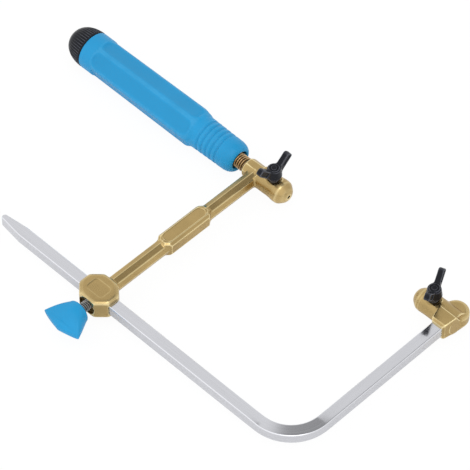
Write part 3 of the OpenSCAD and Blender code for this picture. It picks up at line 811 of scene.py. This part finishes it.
def moulded_finish(name, rgb, rubbed_and_lit_rgb, base_roughness, wear_and_highlight, shine):
    """Moulded plastic: even colour with faint clouds, fine grain, painted shade in hollows, and edges
    lightened by wear and painted highlight.
    """
    material, wire = start_material(name)
    dark, light, hollow = opaque(rgb, 0.94), opaque(rgb, 1.06), opaque(rgb, 0.8)
    place = object_place(wire)
    cloud = noise(wire, place, scale=45.0, detail=3.0)
    grain = noise(wire, place, scale=2600.0, rough=0.6)
    flecks = noise(wire, stretched(wire, place, (300.0, 900.0, 900.0)), scale=1.0)
    mark = attribute(wire, "edge_mark", 2)
    # ridges and edges lightened partly as wear and partly as a painted highlight
    rubbed = (mark.past(0.25, 1.6) + flecks.past(0.55, 1.2)).clipped()
    tone = cloud.past(0.3, 2.4).clipped().mixed(dark, light)
    # painted shade: hollows and flutes darker
    tone = (mark * -1.0).clipped().mixed(tone, hollow)
    tone = (rubbed * wear_and_highlight).mixed(tone, opaque(rubbed_and_lit_rgb))
    roughness = base_roughness + grain.past(0.5, 0.16) + cloud.past(0.5, 0.1) + rubbed * 0.06
    close_material(wire, tone, roughness, metallic=0.0, height=grain, bump=0.12, distance=0.00008,
                   Specular_IOR_Level=shine)
    return material


def thread_finish(name, rgb, root_shade_gain, base_roughness):
    """Rolled thread: painted highlight on the crests, painted shade in the roots, and fine grain."""
    material, wire = start_material(name)
    root, top = opaque(rgb, root_shade_gain), opaque(rgb, 1.25)
    place = object_place(wire)
    crest = attribute(wire, "edge_mark", 2)
    stain = noise(wire, place, scale=500.0, detail=3.0)
    grain = noise(wire, place, scale=4200.0)
    # painted highlight on the crests and painted shade in the roots
    tone = (crest * 1.2 - 0.2 + stain.past(0.5, 0.7)).clipped().mixed(root, top)
    roughness = base_roughness + grain.past(0.5, 0.2) + (1.0 - crest) * 0.2
    close_material(wire, tone, roughness, metallic=1.0, height=grain, bump=0.15, distance=0.00005)
    return material


def turned_finish(name, rgb, centre, direction):
    """Turned metal: fine rings round the piece's own axis, with a cloudy stain."""
    material, wire = start_material(name)
    dark, light = opaque(rgb, 0.8), opaque(rgb, 1.1)
    place = object_place(wire)
    centred = stretched(wire, place, (1.0, 1.0, 1.0), tuple(-part for part in centre))
    rings = wire.node("ShaderNodeTexWave", {"wave_type": "RINGS", "rings_direction": direction},
                      {"Vector": centred, "Scale": 1500.0, "Distortion": 1.5, "Detail": 2.0})
    stain = noise(wire, place, scale=350.0, detail=3.0)
    tone = (rings * 0.5 + stain.past(0.3, 0.8)).clipped().mixed(dark, light)
    roughness = 0.28 + stain.past(0.5, 0.2) + rings * 0.08
    close_material(wire, tone, roughness, metallic=1.0, height=rings, bump=0.12, distance=0.00004)
    return material


def finish_named(name):
    """A material of the pieces, made at its first use."""
    colours = bpy.context.scene.fret_saw_colours
    # Mouldings end with roughness, share of wear and painted highlight, and shine, and threads with the gain
    # of their roots, painted shade, and roughness
    makers = {
        "satin_brass_casting": (casting_finish, colours.casting, colours.casting_worn_and_lit),
        "plated_bar": (plated_bar_finish, colours.chrome),
        "blue_moulding": (moulded_finish, colours.blue, colours.blue_rubbed_and_lit, 0.40, 0.35, 0.3),
        "black_moulding": (moulded_finish, colours.black, colours.black_rubbed_and_lit, 0.33, 0.7, 0.23),
        "stud_thread": (thread_finish, colours.stud, 0.10, 0.28),
        "steel_thread": (thread_finish, colours.steel, 0.3, 0.34),
        "dark_thread": (thread_finish, colours.shaded_steel, 0.2, 0.34),
    }
    make, *values = makers[name]
    return bpy.data.materials.get(name) or make(name, *values)


class PieceOperator:
    """What the operators share: they can be undone, and they run in any mode."""

    bl_options = {"REGISTER", "UNDO"}

    def execute(self, context):
        self.build(context)
        return {"FINISHED"}


class FRETSAW_OT_bow_bar(PieceOperator, bpy.types.Operator):
    """Builds the bent square bar with its tapered tail"""

    bl_idname = "fret_saw.bow_bar"
    bl_label = "Bow bar"

    def build(self, context):
        """A square section with round edges, carried along a line with one bend.

        The tail's half width grows in a quarter circle and then in a straight line. In the bend the height is
        multiplied by one plus the swell times the distance inwards over the half side's square."""
        size = Millimetres(context.scene.fret_saw_bar)
        first_step, tip_thinning, edge_share, ease_length = 0.12, 0.5, 0.75, 5.0
        flat_steps = np.array([-1.0, -0.93, -0.5, 0.0, 0.5, 0.93])
        corner_steps = np.linspace(0, QUARTER_TURN, 8)[:-1]
        half, tip_r = BAR_SIDE / 2, size.tip / 2
        bend_x, bend_y = LEG_X - size.bend, BAR_Y + size.bend
        straight = bend_x - BAR_LOW[0]
        bend_end = straight + size.bend * QUARTER_TURN
        leg_end = bend_end + BAR_HIGH[1] - bend_y
        runs = ((tip_r, size.taper, 12), (size.taper, straight, 30), (straight, bend_end, 49),
                (bend_end, leg_end, 20))
        nose = tip_r * (1 - np.cos(np.linspace(first_step, 1, 12) * QUARTER_TURN))
        along = np.concatenate([nose] + [np.linspace(*run)[1:] for run in runs])[:, None]
        turn = np.clip((along - straight) / size.bend, 0, QUARTER_TURN)
        path_x = np.minimum(BAR_LOW[0] + along, bend_x) + size.bend * np.sin(turn)
        path_y = BAR_Y + size.bend * (1 - np.cos(turn)) + np.maximum(along - bend_end, 0)
        round_nose = np.sqrt(np.maximum(tip_r ** 2 - (along - tip_r) ** 2, 0))
        sloped = tip_r + (half - tip_r) * (along - tip_r) / (size.taper - tip_r)
        half_width = np.where(along < tip_r, round_nose, np.minimum(sloped, half))
        half_height = half - tip_thinning * np.clip(1 - along / tip_r, 0, 1) ** 2
        edge = np.minimum(size.edge, edge_share * half_width)
        u, v = [], []
        for quarter in range(4):
            reach_out, reach_up = (half_width, half_height) if quarter % 2 == 0 else (half_height, half_width)
            flat = np.tile(reach_out, len(flat_steps))
            out = np.hstack((flat, reach_out - edge * (1 - np.cos(corner_steps))))
            up = np.hstack(((reach_up - edge) * flat_steps, reach_up - edge + edge * np.sin(corner_steps)))
            heading = quarter * QUARTER_TURN
            u.append(out * math.cos(heading) - up * math.sin(heading))
            v.append(out * math.sin(heading) + up * math.cos(heading))
        u, v = np.hstack(u), np.hstack(v)
        # marks on the rounded edges drive the bar's painted edge highlight
        marks = np.tile(np.append(np.zeros(len(flat_steps)), np.sin(2 * corner_steps)), (len(along), 4))
        swell = size.swell * smooth_step(np.minimum(along - straight, bend_end - along) / ease_length + 0.5)
        v = v * (1 + swell * u / half ** 2)
        rings = np.stack((path_x - u * np.sin(turn), path_y + u * np.cos(turn), v), axis=-1)
        laid = np.stack((np.broadcast_to(along, u.shape), u, v), axis=-1).reshape(-1, 3)
        laid = np.vstack((laid, (0.0, 0.0, 0.0), (leg_end, 0.0, 0.0)))
        surface = skin(rings, (BAR_LOW[0], BAR_Y, 0.0), (LEG_X, BAR_HIGH[1], 0.0))
        make_piece("bow_bar_plated", surface, "bow", "plated_bar", "bow_bar", marks, laid)


class FRETSAW_OT_castings(PieceOperator, bpy.types.Operator):
    """Builds the crosshead with its arm and lower clamp, and the upper clamp"""

    bl_idname = "fret_saw.castings"
    bl_label = "Castings"

    def build(self, context):
        size = Millimetres(context.scene.fret_saw_casting)
        room, past_edge, seat_cover = 3 * size.detail, 0.12, 0.3
        seat_top = size.barrel / 2 - seat_cover
        bore_floor = BAR_Y - size.head_width / 2 + LOCK_BORE_DEPTH + past_edge
        for name, body, node, field, low, high, wing_x in (
                ("arm_casting", "frame", "crosshead_arm", arm_casting_field, ARM_LOW, ARM_HIGH, LOWER_WING_X),
                ("upper_casting", "bow", "upper_clamp", upper_casting_field, UPPER_LOW, UPPER_HIGH,
                 UPPER_WING_X)):
            surface = net_surface(lambda x, y, z: field(x, y, z, size), low - room, high + room, size.detail)
            x, y, z = surface[0].T
            # these masks mark the lock bore and the wing seat for painted shade
            bore_shade_mask = (np.hypot(x - ARM_X, z) < LOCK_BORE_R + past_edge) & (y < bore_floor)
            seat_shade_mask = (np.hypot(x - wing_x, y) < WING_SEAT_R - past_edge) & (z > 0) & (z < seat_top)
            make_piece(name, surface, body, "satin_brass_casting", node,
                       painted_shade_share=np.maximum(BORE_SHADE * bore_shade_mask, SEAT_SHADE * seat_shade_mask))


class FRETSAW_OT_wing_heads(PieceOperator, bpy.types.Operator):
    """Builds the two black wing heads"""

    bl_idname = "fret_saw.wing_heads"
    bl_label = "Wing heads"

    def build(self, context):
        group = context.scene.fret_saw_screws
        size = Millimetres(group)
        room, end_room = 0.6, 1.0
        reach = WING_ROOT + (size.wing_length + end_room) * math.cos(group.wing_slope) + size.wing_width
        low = np.array([-reach, -size.hub / 2 - room, -room])
        high = np.array([reach, size.hub / 2 + room, LOWER_WING_HIGH[2] - HUB_Z + end_room])
        points, faces = net_surface(lambda x, y, z: wing_head_field(x, y, z, size, group.wing_slope),
                                    low, high, size.detail)
        for name, body, node, x, heading in (
                ("lower_wing_head", "lower_turner", "lower_wing", LOWER_WING_X, group.lower_heading),
                ("upper_wing_head", "upper_turner", "upper_wing", UPPER_WING_X, group.upper_heading)):
            turn = np.array([[math.cos(heading), math.sin(heading), 0],
                             [-math.sin(heading), math.cos(heading), 0], [0, 0, 1]])
            placed = points @ turn + np.array([x, 0, HUB_Z])
            make_piece(name, (placed, faces), body, "black_moulding", node)


class FRETSAW_OT_screws(PieceOperator, bpy.types.Operator):
    """Builds the threaded shanks of the wing screws, the bar lock and the handle"""

    bl_idname = "fret_saw.screws"
    bl_label = "Screws"

    def build(self, context):
        size = Millimetres(context.scene.fret_saw_screws)
        handle = Millimetres(context.scene.fret_saw_handle)
        running, spigot, spigot_r, stud_around = 0.03, 8.0, 3.0, 48
        for name, body, node, low, high in (
                ("lower_thread", "lower_turner", "lower_screw", LOWER_SCREW_LOW, LOWER_SCREW_HIGH),
                ("upper_thread", "upper_turner", "upper_screw", UPPER_SCREW_LOW, UPPER_SCREW_HIGH)):
            crest = (high[0] - low[0]) / 2 - running
            rings, marks = thread(high[2] - low[2], size.wing_pitch, crest, around=32, per_turn=10, lead=0.6)
            rings = rings + np.array([(low[0] + high[0]) / 2, 0, low[2]])
            # the wing screws' dark finish is painted shade under the hubs
            self.close(name, rings, marks, body, "steel", "dark_thread", node)
        lock_length = LOCK_HIGH[1] - LOCK_LOW[1]
        crest = size.lock_screw / 2
        rings, marks = thread(lock_length, size.lock_pitch, crest, around=40, per_turn=12, lead=0.8)
        rings = np.stack((ARM_X + rings[..., 0], LOCK_HIGH[1] - rings[..., 2], rings[..., 1]), axis=-1)
        self.close("lock_thread", rings, marks, "lock_turner", "steel", "steel_thread", "lock_screw")
        threaded = STUD_HIGH[0] - STUD_LOW[0] - spigot
        crest = (STUD_HIGH[1] - STUD_LOW[1]) / 2 - running
        rings, marks = thread(threaded, handle.stud_pitch, crest, stud_around, per_turn=12, lead=0.9)
        rings = np.stack((STUD_HIGH[0] - spigot - rings[..., 2], rings[..., 0], rings[..., 1]), axis=-1)
        plain = revolve(np.array([0.0, spigot]), [spigot_r, spigot_r], stud_around, STUD_HIGH[0])
        marks = np.append(np.full(2 * stud_around, PLAIN_MARK), marks)
        rings = np.concatenate((plain, rings))
        self.close("stud_thread_rod", rings, marks, "frame", "stud", "stud_thread", "handle_stud")

    def close(self, name, rings, marks, body, slot, finish, node):
        """Closes a thread with a point in the middle of each end, and makes its piece."""
        surface = skin(rings, rings[0].mean(axis=0), rings[-1].mean(axis=0))
        make_piece(name, surface, body, finish, node, np.append(marks, [PLAIN_MARK, PLAIN_MARK]))


class FRETSAW_OT_lock_knob(PieceOperator, bpy.types.Operator):
    """Builds the blue paddle-shaped knob of the bar lock"""

    bl_idname = "fret_saw.lock_knob"
    bl_label = "Lock knob"

    def build(self, context):
        """Sections along the axis go in straight lines from a round shoulder to a lens and then close in.

        The lens has the outline whose reach in the direction a is the greater of its middle radius and of
        its tip radius plus the tips' distance times the cosine of a, with the corner between them rounded.
        A point is reach times (cos a, sin a) plus the reach's slope times (-sin a, cos a)."""
        size = Millimetres(context.scene.fret_saw_screws)
        blend, fine_steps, around = 0.22, 2881, 96
        tip_share, neck_end, neck_power, round_in, belly_height = 0.8, 1.2, 1.5, 1.1, 1.2
        narrowing, narrow_end, thinning, thin_end = 1.2, 0.85, 2.4, 0.5
        span = (KNOB_HIGH[0] - KNOB_LOW[0]) / 2
        knob_length = KNOB_HIGH[1] - KNOB_LOW[1]
        tip_r, tip_place = size.knob_tip / 2, tip_share * knob_length
        fine = np.linspace(0, FULL_TURN, fine_steps)
        tip_reach = tip_r + (span - tip_r) * np.abs(np.cos(fine))
        reach = soft_max(blend, np.full_like(fine, size.knob_thick / 2), tip_reach)
        slope = np.gradient(reach, fine)
        lens_x = reach * np.cos(fine) - slope * np.sin(fine)
        lens_z = reach * np.sin(fine) + slope * np.cos(fine)
        run = np.append(0, np.cumsum(np.hypot(np.diff(lens_x), np.diff(lens_z))))
        pace = run / run[-1] + fine / fine[-1]
        angle = np.interp(np.arange(around) * 2 / around, pace, fine)
        lens_x, lens_z = np.interp(angle, fine, lens_x), np.interp(angle, fine, lens_z)
        start = np.linspace(0, 1, 10) ** neck_power * neck_end
        middle = np.linspace(neck_end, tip_place, 40)[1:]
        close_in = tip_place + (knob_length - tip_place) * np.sin(np.linspace(0, 1, 30)[1:-1] * QUARTER_TURN)
        along = np.concatenate((start, middle, close_in))[:, None]
        grow = np.clip((along - neck_end) / (tip_place - neck_end), 0, 1)
        entry = np.sqrt(1 - np.clip(1 - along / round_in, 0, 1) ** 2)
        shoulder = (1 - grow) * (size.knob_shoulder / 2 - round_in * (1 - entry))
        belly = belly_height * 4 * grow * (1 - grow)
        ending = np.clip((along - tip_place) / (knob_length - tip_place), 0, 1)
        x = (shoulder * np.cos(angle) + grow * lens_x) * (1 - ending ** narrowing) ** narrow_end
        z = ((shoulder + belly) * np.sin(angle) + grow * lens_z) * (1 - ending ** thinning) ** thin_end
        rings = np.stack((ARM_X + x, np.broadcast_to(KNOB_HIGH[1] - along, x.shape), z), axis=-1)
        surface = skin(rings, (ARM_X, KNOB_HIGH[1], 0.0), (ARM_X, KNOB_LOW[1], 0.0))
        make_piece("lock_knob_paddle", surface, "lock_turner", "blue_moulding", "lock_knob")


class FRETSAW_OT_handle(PieceOperator, bpy.types.Operator):
    """Builds the fluted handle with its ring grooves and hollow"""

    bl_idname = "fret_saw.handle"
    bl_label = "Handle"

    def build(self, context):
        """Radius is the outline less the ring grooves, and the lesser of that and the flutes' round bottoms,
        which lie at distance D from the axis: D cos(a) minus the root of R squared less (D sin(a)) squared.

        The ridges between the flutes swell a little. Ridges and groove rims are marked for a painted
        highlight, flutes and grooves for painted shade."""
        group = context.scene.fret_saw_handle
        size = Millimetres(group)
        lip, lip_back, hole, hole_depth, chamfer = 5.3, 0.1, 4.9, 4.0, 0.4
        insert_r, insert_end, stud_end = 6.25, 24.0, 36.2
        store_r, store_floor = 5.5, 42.2
        edge_round, row_step, around = 0.5, 0.3, 144
        collar_rise, groove_half = 0.9, 0.9
        front_run, rear_run, end_length, ridge_swell = 2.5, 0.5, 2.8, 0.2
        flute_round, flute_reach, steepest = 0.07, 4.0, 1.6
        ridge_highlight_mark, ridge_depth, ridge_lead = 0.6, 0.12, 2.5
        rim_highlight_mark, rim_place, rim_width, groove_shade_mark = 0.65, 1.3, 0.3, 0.4
        flute_shade_mark, flute_shade_depth = 0.33, 0.6
        grip_start = size.neck_length + size.shoulder
        grip_end = HANDLE_LENGTH - size.collar_length
        rise = np.linspace(0, QUARTER_TURN, 16)
        front_s = size.front * (1 - np.cos(rise))
        front_r = lip + (size.neck - lip) * np.sin(rise)
        body_s = np.arange(size.front, HANDLE_LENGTH - edge_round, row_step)[1:, None]
        taper = np.clip((body_s - size.front) / (size.neck_length - size.front), 0, 1)
        waist = np.clip((body_s - grip_start) / (grip_end - grip_start), 0, 1)
        neck_r = size.neck + (size.neck_rear - size.neck) * taper
        body_r = neck_r + (size.grip - neck_r) * half_wave((body_s - size.neck_length) / size.shoulder)
        body_r = body_r + (size.grip_rear - size.grip) * waist
        body_r = body_r + (size.collar - size.grip_rear) * smooth_step((body_s - grip_end) / collar_rise)
        groove_place = size.groove_start + size.groove_step * np.arange(group.grooves)
        nearest = np.abs(body_s - groove_place).min(axis=1, keepdims=True) / groove_half
        groove = 1 - half_wave(nearest)
        inside = np.minimum(body_s - grip_start + front_run, grip_end + rear_run - body_s)
        body_r = body_r - size.groove_depth * groove + ridge_swell * np.clip(inside / end_length, 0, 1)
        turn = FULL_TURN / group.flutes
        from_flute = (full_circle(around) - group.ridge_heading + turn) % turn - turn / 2
        rounding = np.clip(1 - inside / end_length, 0, steepest)
        lift = np.where(rounding < 1, 1 - np.sqrt(np.maximum(1 - rounding ** 2, 0)), rounding)
        middle = body_r - size.flute_depth * (1 - lift) + size.flute_radius
        under = np.maximum(size.flute_radius ** 2 - (middle * np.sin(from_flute)) ** 2, 0)
        flute_r = middle * np.cos(from_flute) - np.sqrt(under)
        grid = np.where(inside > -flute_reach, soft_min(flute_round, body_r, flute_r), body_r)
        sunk = body_r - grid
        ridge_start = np.clip((inside + ridge_lead) / ridge_lead, 0, 1)
        # marks: painted highlight on ridges and groove rims, painted shade in grooves and flutes
        ridges = ridge_highlight_mark * np.exp(-(sunk / ridge_depth) ** 2) * ridge_start
        rims = rim_highlight_mark * np.exp(-((nearest - rim_place) / rim_width) ** 2) - groove_shade_mark * groove
        marks = ridges + rims - flute_shade_mark * np.clip(sunk / flute_shade_depth, 0, 1)
        turn_in = np.linspace(0, QUARTER_TURN, 6)
        edge_s = HANDLE_LENGTH - edge_round * (1 - np.sin(turn_in))
        edge_r = size.collar - edge_round * (1 - np.cos(turn_in))
        before_s = [stud_end, stud_end, insert_end, insert_end, hole_depth, hole_depth, chamfer, lip_back]
        before_r = [POINTED, hole, hole, insert_r, insert_r, hole, hole, (hole + lip) / 2]
        after_s = [HANDLE_LENGTH, HANDLE_LENGTH - chamfer, store_floor, store_floor]
        after_r = [store_r + chamfer, store_r, store_r, POINTED]
        stations = np.concatenate((before_s, front_s, body_s[:, 0], edge_s, after_s))
        start_r, end_r = np.append(before_r, front_r), np.append(edge_r, after_r)
        radii = np.vstack((np.tile(start_r[:, None], around), grid, np.tile(end_r[:, None], around)))
        marks = np.pad(marks, ((len(start_r), len(end_r)), (0, 0)))
        rings = revolve(stations, radii, around, HANDLE_X)
        surface = skin(rings, (HANDLE_X - stud_end, 0.0, 0.0), (HANDLE_X - store_floor, 0.0, 0.0))
        make_piece("handle_fluted", surface, "handle", "blue_moulding", "handle_grip", marks)


class FRETSAW_OT_end_cap(PieceOperator, bpy.types.Operator):
    """Builds the black ribbed cap with its plug"""

    bl_idname = "fret_saw.end_cap"
    bl_label = "End cap"

    def build(self, context):
        """An elliptic dome whose side carries ribs: radius less a rounded wave round the axis, which fades on
        the way to the top."""
        group = context.scene.fret_saw_handle
        size = Millimetres(group)
        plug_r, plug_length, plug_chamfer, plug_step = 5.45, 10.0, 0.6, 0.05
        row_power, dome_power, rim_cut, rim_length = 0.9, 0.76, 0.25, 0.3
        rib_points, rib_depth, rib_power = 10, 0.45, 3
        rib_start, rib_rise, rib_end, rib_fade = 0.4, 0.6, 0.52, 0.36
        rib_highlight_mark, hollow_shade_mark = 1.3, 0.2
        cap_x = CAP_HIGH[0] - plug_length
        around = rib_points * group.cap_ribs
        share = np.linspace(0, 1, 60)[:-1, None] ** row_power
        dome_s = (cap_x - CAP_LOW[0]) * np.sin(share * QUARTER_TURN)
        dome_r = size.cap * np.cos(share * QUARTER_TURN) ** dome_power
        dome_r = dome_r - rim_cut * np.clip(1 - dome_s / rim_length, 0, 1)
        rise = np.clip((dome_s - rib_start) / rib_rise, 0, 1) * np.clip((rib_end - share) / rib_fade, 0, 1)
        crest = (0.5 + 0.5 * np.cos(group.cap_ribs * full_circle(around))) ** rib_power
        grid = dome_r - rib_depth * rise * (1 - crest)
        before_s = [-plug_length, -plug_length, plug_chamfer - plug_length, -POINTED, 0.0]
        before_r = np.array([POINTED, plug_r - plug_chamfer, plug_r, plug_r, plug_r + plug_step])
        radii = np.vstack((np.tile(before_r[:, None], around), grid))
        rings = revolve(np.append(before_s, dome_s), radii, around, cap_x)
        # marks: painted highlight on the rib crests, partly wear, and painted shade in the valleys
        marks = np.pad(rib_highlight_mark * rise * crest - hollow_shade_mark, ((len(before_r), 0), (0, 0)))
        surface = skin(rings, (cap_x + plug_length, 0.0, 0.0), (CAP_LOW[0], 0.0, 0.0))
        make_piece("end_cap_ribbed", surface, "cap", "black_moulding", "end_cap", marks)


class FRETSAW_OT_inner_pieces(PieceOperator, bpy.types.Operator):
    """Gives the shoes, the insert and the pin their turned finishes"""

    bl_idname = "fret_saw.inner_pieces"
    bl_label = "Inner pieces"

    def build(self, context):
        colours = context.scene.fret_saw_colours
        for node, rgb, direction in (("lower_shoe", colours.turned_brass, "Z"),
                                     ("upper_shoe", colours.turned_brass, "Z"),
                                     ("lock_shoe", colours.turned_brass, "Y"),
                                     ("handle_insert", colours.turned_brass, "X"),
                                     ("clamp_pin", colours.steel, "Z")):
            low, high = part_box(node)
            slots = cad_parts[node].data.materials
            slots.clear()
            slots.append(turned_finish("turned_" + node, rgb, (low + high) / 2, direction))


class FRETSAW_OT_stage(PieceOperator, bpy.types.Operator):
    """Sets the floor, the lamps, the even light and the camera"""

    bl_idname = "fret_saw.stage"
    bl_label = "Stage"

    def build(self, context):
        scene = context.scene
        stage = scene.fret_saw_stage
        aim = Vector(stage.aim)
        for name, power, width, offset in (("key_lamp", stage.key, 1.2, Vector((-0.85, -0.85, 0.9))),
                                           ("top_lamp", stage.top, 0.6, Vector((0.45, -0.25, 1.25)))):
            data = bpy.data.lights.new(name, "AREA")
            data.energy = power
            data.size = width
            self.place(name, data, aim + offset, offset)
        level, up = math.cos(stage.elevation), math.sin(stage.elevation)
        away = Vector((math.sin(stage.azimuth) * level, -math.cos(stage.azimuth) * level, up))
        self.add_floor(stage)
        self.add_sky(stage, away)
        data = bpy.data.cameras.new("photo_camera")
        data.sensor_fit = "HORIZONTAL"
        data.sensor_width = 36.0
        data.lens = stage.lens
        data.clip_start = 0.05
        data.clip_end = 30.0
        scene.camera = self.place("photo_camera", data, aim + away * stage.distance, away)
        scene.view_settings.view_transform = "Standard"

    def place(self, name, data, location, away):
        """Links a lamp or a camera that looks the opposite way from away."""
        item = bpy.data.objects.new(name, data)
        item.location = location
        item.rotation_euler = away.to_track_quat("Z", "Y").to_euler()
        bpy.context.scene.collection.objects.link(item)
        return item

    def add_floor(self, stage):
        """A plain pale floor. The camera sees mostly white, reflections a little, and the rest is matt."""
        reach, gap, mirrored = 6.0, 0.0001, 0.15
        grey, brightness = (0.9, 0.9, 0.9, 1.0), 1.02
        level = CAD_BOX[0][2] - gap
        mesh = bpy.data.meshes.new("floor")
        ways = ((-1, -1), (1, -1), (1, 1), (-1, 1))
        mesh.from_pydata([(reach * x, reach * y, level) for x, y in ways], [], [(0, 1, 2, 3)])
        material, wire = start_material("pale_floor")
        camera, glossy, through = (wire.node("ShaderNodeLightPath", output=name)
                                   for name in ("Is Camera Ray", "Is Glossy Ray", "Is Transmission Ray"))
        seen = (camera + glossy * mirrored + through).clipped()
        plain = wire.node("ShaderNodeBsdfDiffuse", None, {"Color": grey})
        glow = wire.node("ShaderNodeEmission", None, {"Color": WHITE, "Strength": brightness})
        mixed = wire.node("ShaderNodeMixShader", None, {0: seen * stage.floor_glow, 1: plain, 2: glow})
        wire.node("ShaderNodeOutputMaterial", None, {"Surface": mixed})
        mesh.materials.append(material)
        floor = bpy.data.objects.new("floor", mesh)
        bpy.context.scene.collection.objects.link(floor)

    def add_sky(self, stage, away):
        """Soft light all round that fades towards the right, white where the camera looks at it.

        It has a bright card round the camera and a dark card overhead."""
        world = bpy.data.worlds.new("studio")
        world.use_nodes = True
        world.node_tree.nodes.clear()
        wire = Wire(world.node_tree)
        seen = wire.node("ShaderNodeLightPath", output="Is Camera Ray")
        heading = wire.node("ShaderNodeTexCoord", output="Generated")
        card_sharpness = 5.0
        shade_start, shade_width, shade_middle = 0.92, 0.025, (0.03, 0.38, 0.925)

        def towards(direction):
            return wire.node("ShaderNodeVectorMath", {"operation": "DOT_PRODUCT"}, {0: heading, 1: direction},
                             output=1)

        right = towards((math.cos(stage.azimuth), math.sin(stage.azimuth), 0.0)).clipped()
        near_camera = wire.math("POWER", towards(tuple(away)).clipped(), card_sharpness)
        overhead = towards(shade_middle).past(shade_start, 1 / shade_width).clipped()
        soft = near_camera * stage.front_glow + stage.sky - right * stage.sky_slope
        soft = soft * (1.0 - overhead * stage.dark_card)
        light = seen + (1.0 - seen) * soft
        back = wire.node("ShaderNodeBackground", None, {"Color": WHITE, "Strength": light})
        wire.node("ShaderNodeOutputWorld", None, {"Surface": back})
        bpy.context.scene.world = world


OPERATORS = (
    FRETSAW_OT_stage,
    FRETSAW_OT_bow_bar,
    FRETSAW_OT_castings,
    FRETSAW_OT_wing_heads,
    FRETSAW_OT_screws,
    FRETSAW_OT_lock_knob,
    FRETSAW_OT_handle,
    FRETSAW_OT_end_cap,
    FRETSAW_OT_inner_pieces,
)


class FRETSAW_PT_pieces(bpy.types.Panel):
    """Lists the sizes and the pieces of the saw"""

    bl_idname = "FRETSAW_PT_pieces"
    bl_label = "Fret saw"
    bl_space_type = "VIEW_3D"
    bl_region_type = "UI"
    bl_category = "Fret Saw"

    def draw(self, context):
        for name, group in GROUPS.items():
            box = self.layout.box()
            box.label(text=group.__doc__)
            for field in group.__annotations__:
                box.prop(getattr(context.scene, name), field)
        for operator in OPERATORS:
            self.layout.operator(operator.bl_idname)


CLASSES = (*GROUPS.values(), *OPERATORS, FRETSAW_PT_pieces)


def register():
    for item in CLASSES:
        bpy.utils.register_class(item)
    for name, group in GROUPS.items():
        setattr(bpy.types.Scene, name, PointerProperty(type=group))


def unregister():
    for name in GROUPS:
        delattr(bpy.types.Scene, name)
    for item in reversed(CLASSES):
        bpy.utils.unregister_class(item)


def main():
    register()
    for operator in OPERATORS:
        family, name = operator.bl_idname.split(".")
        getattr(getattr(bpy.ops, family), name)()


if __name__ == "__main__":
    main()
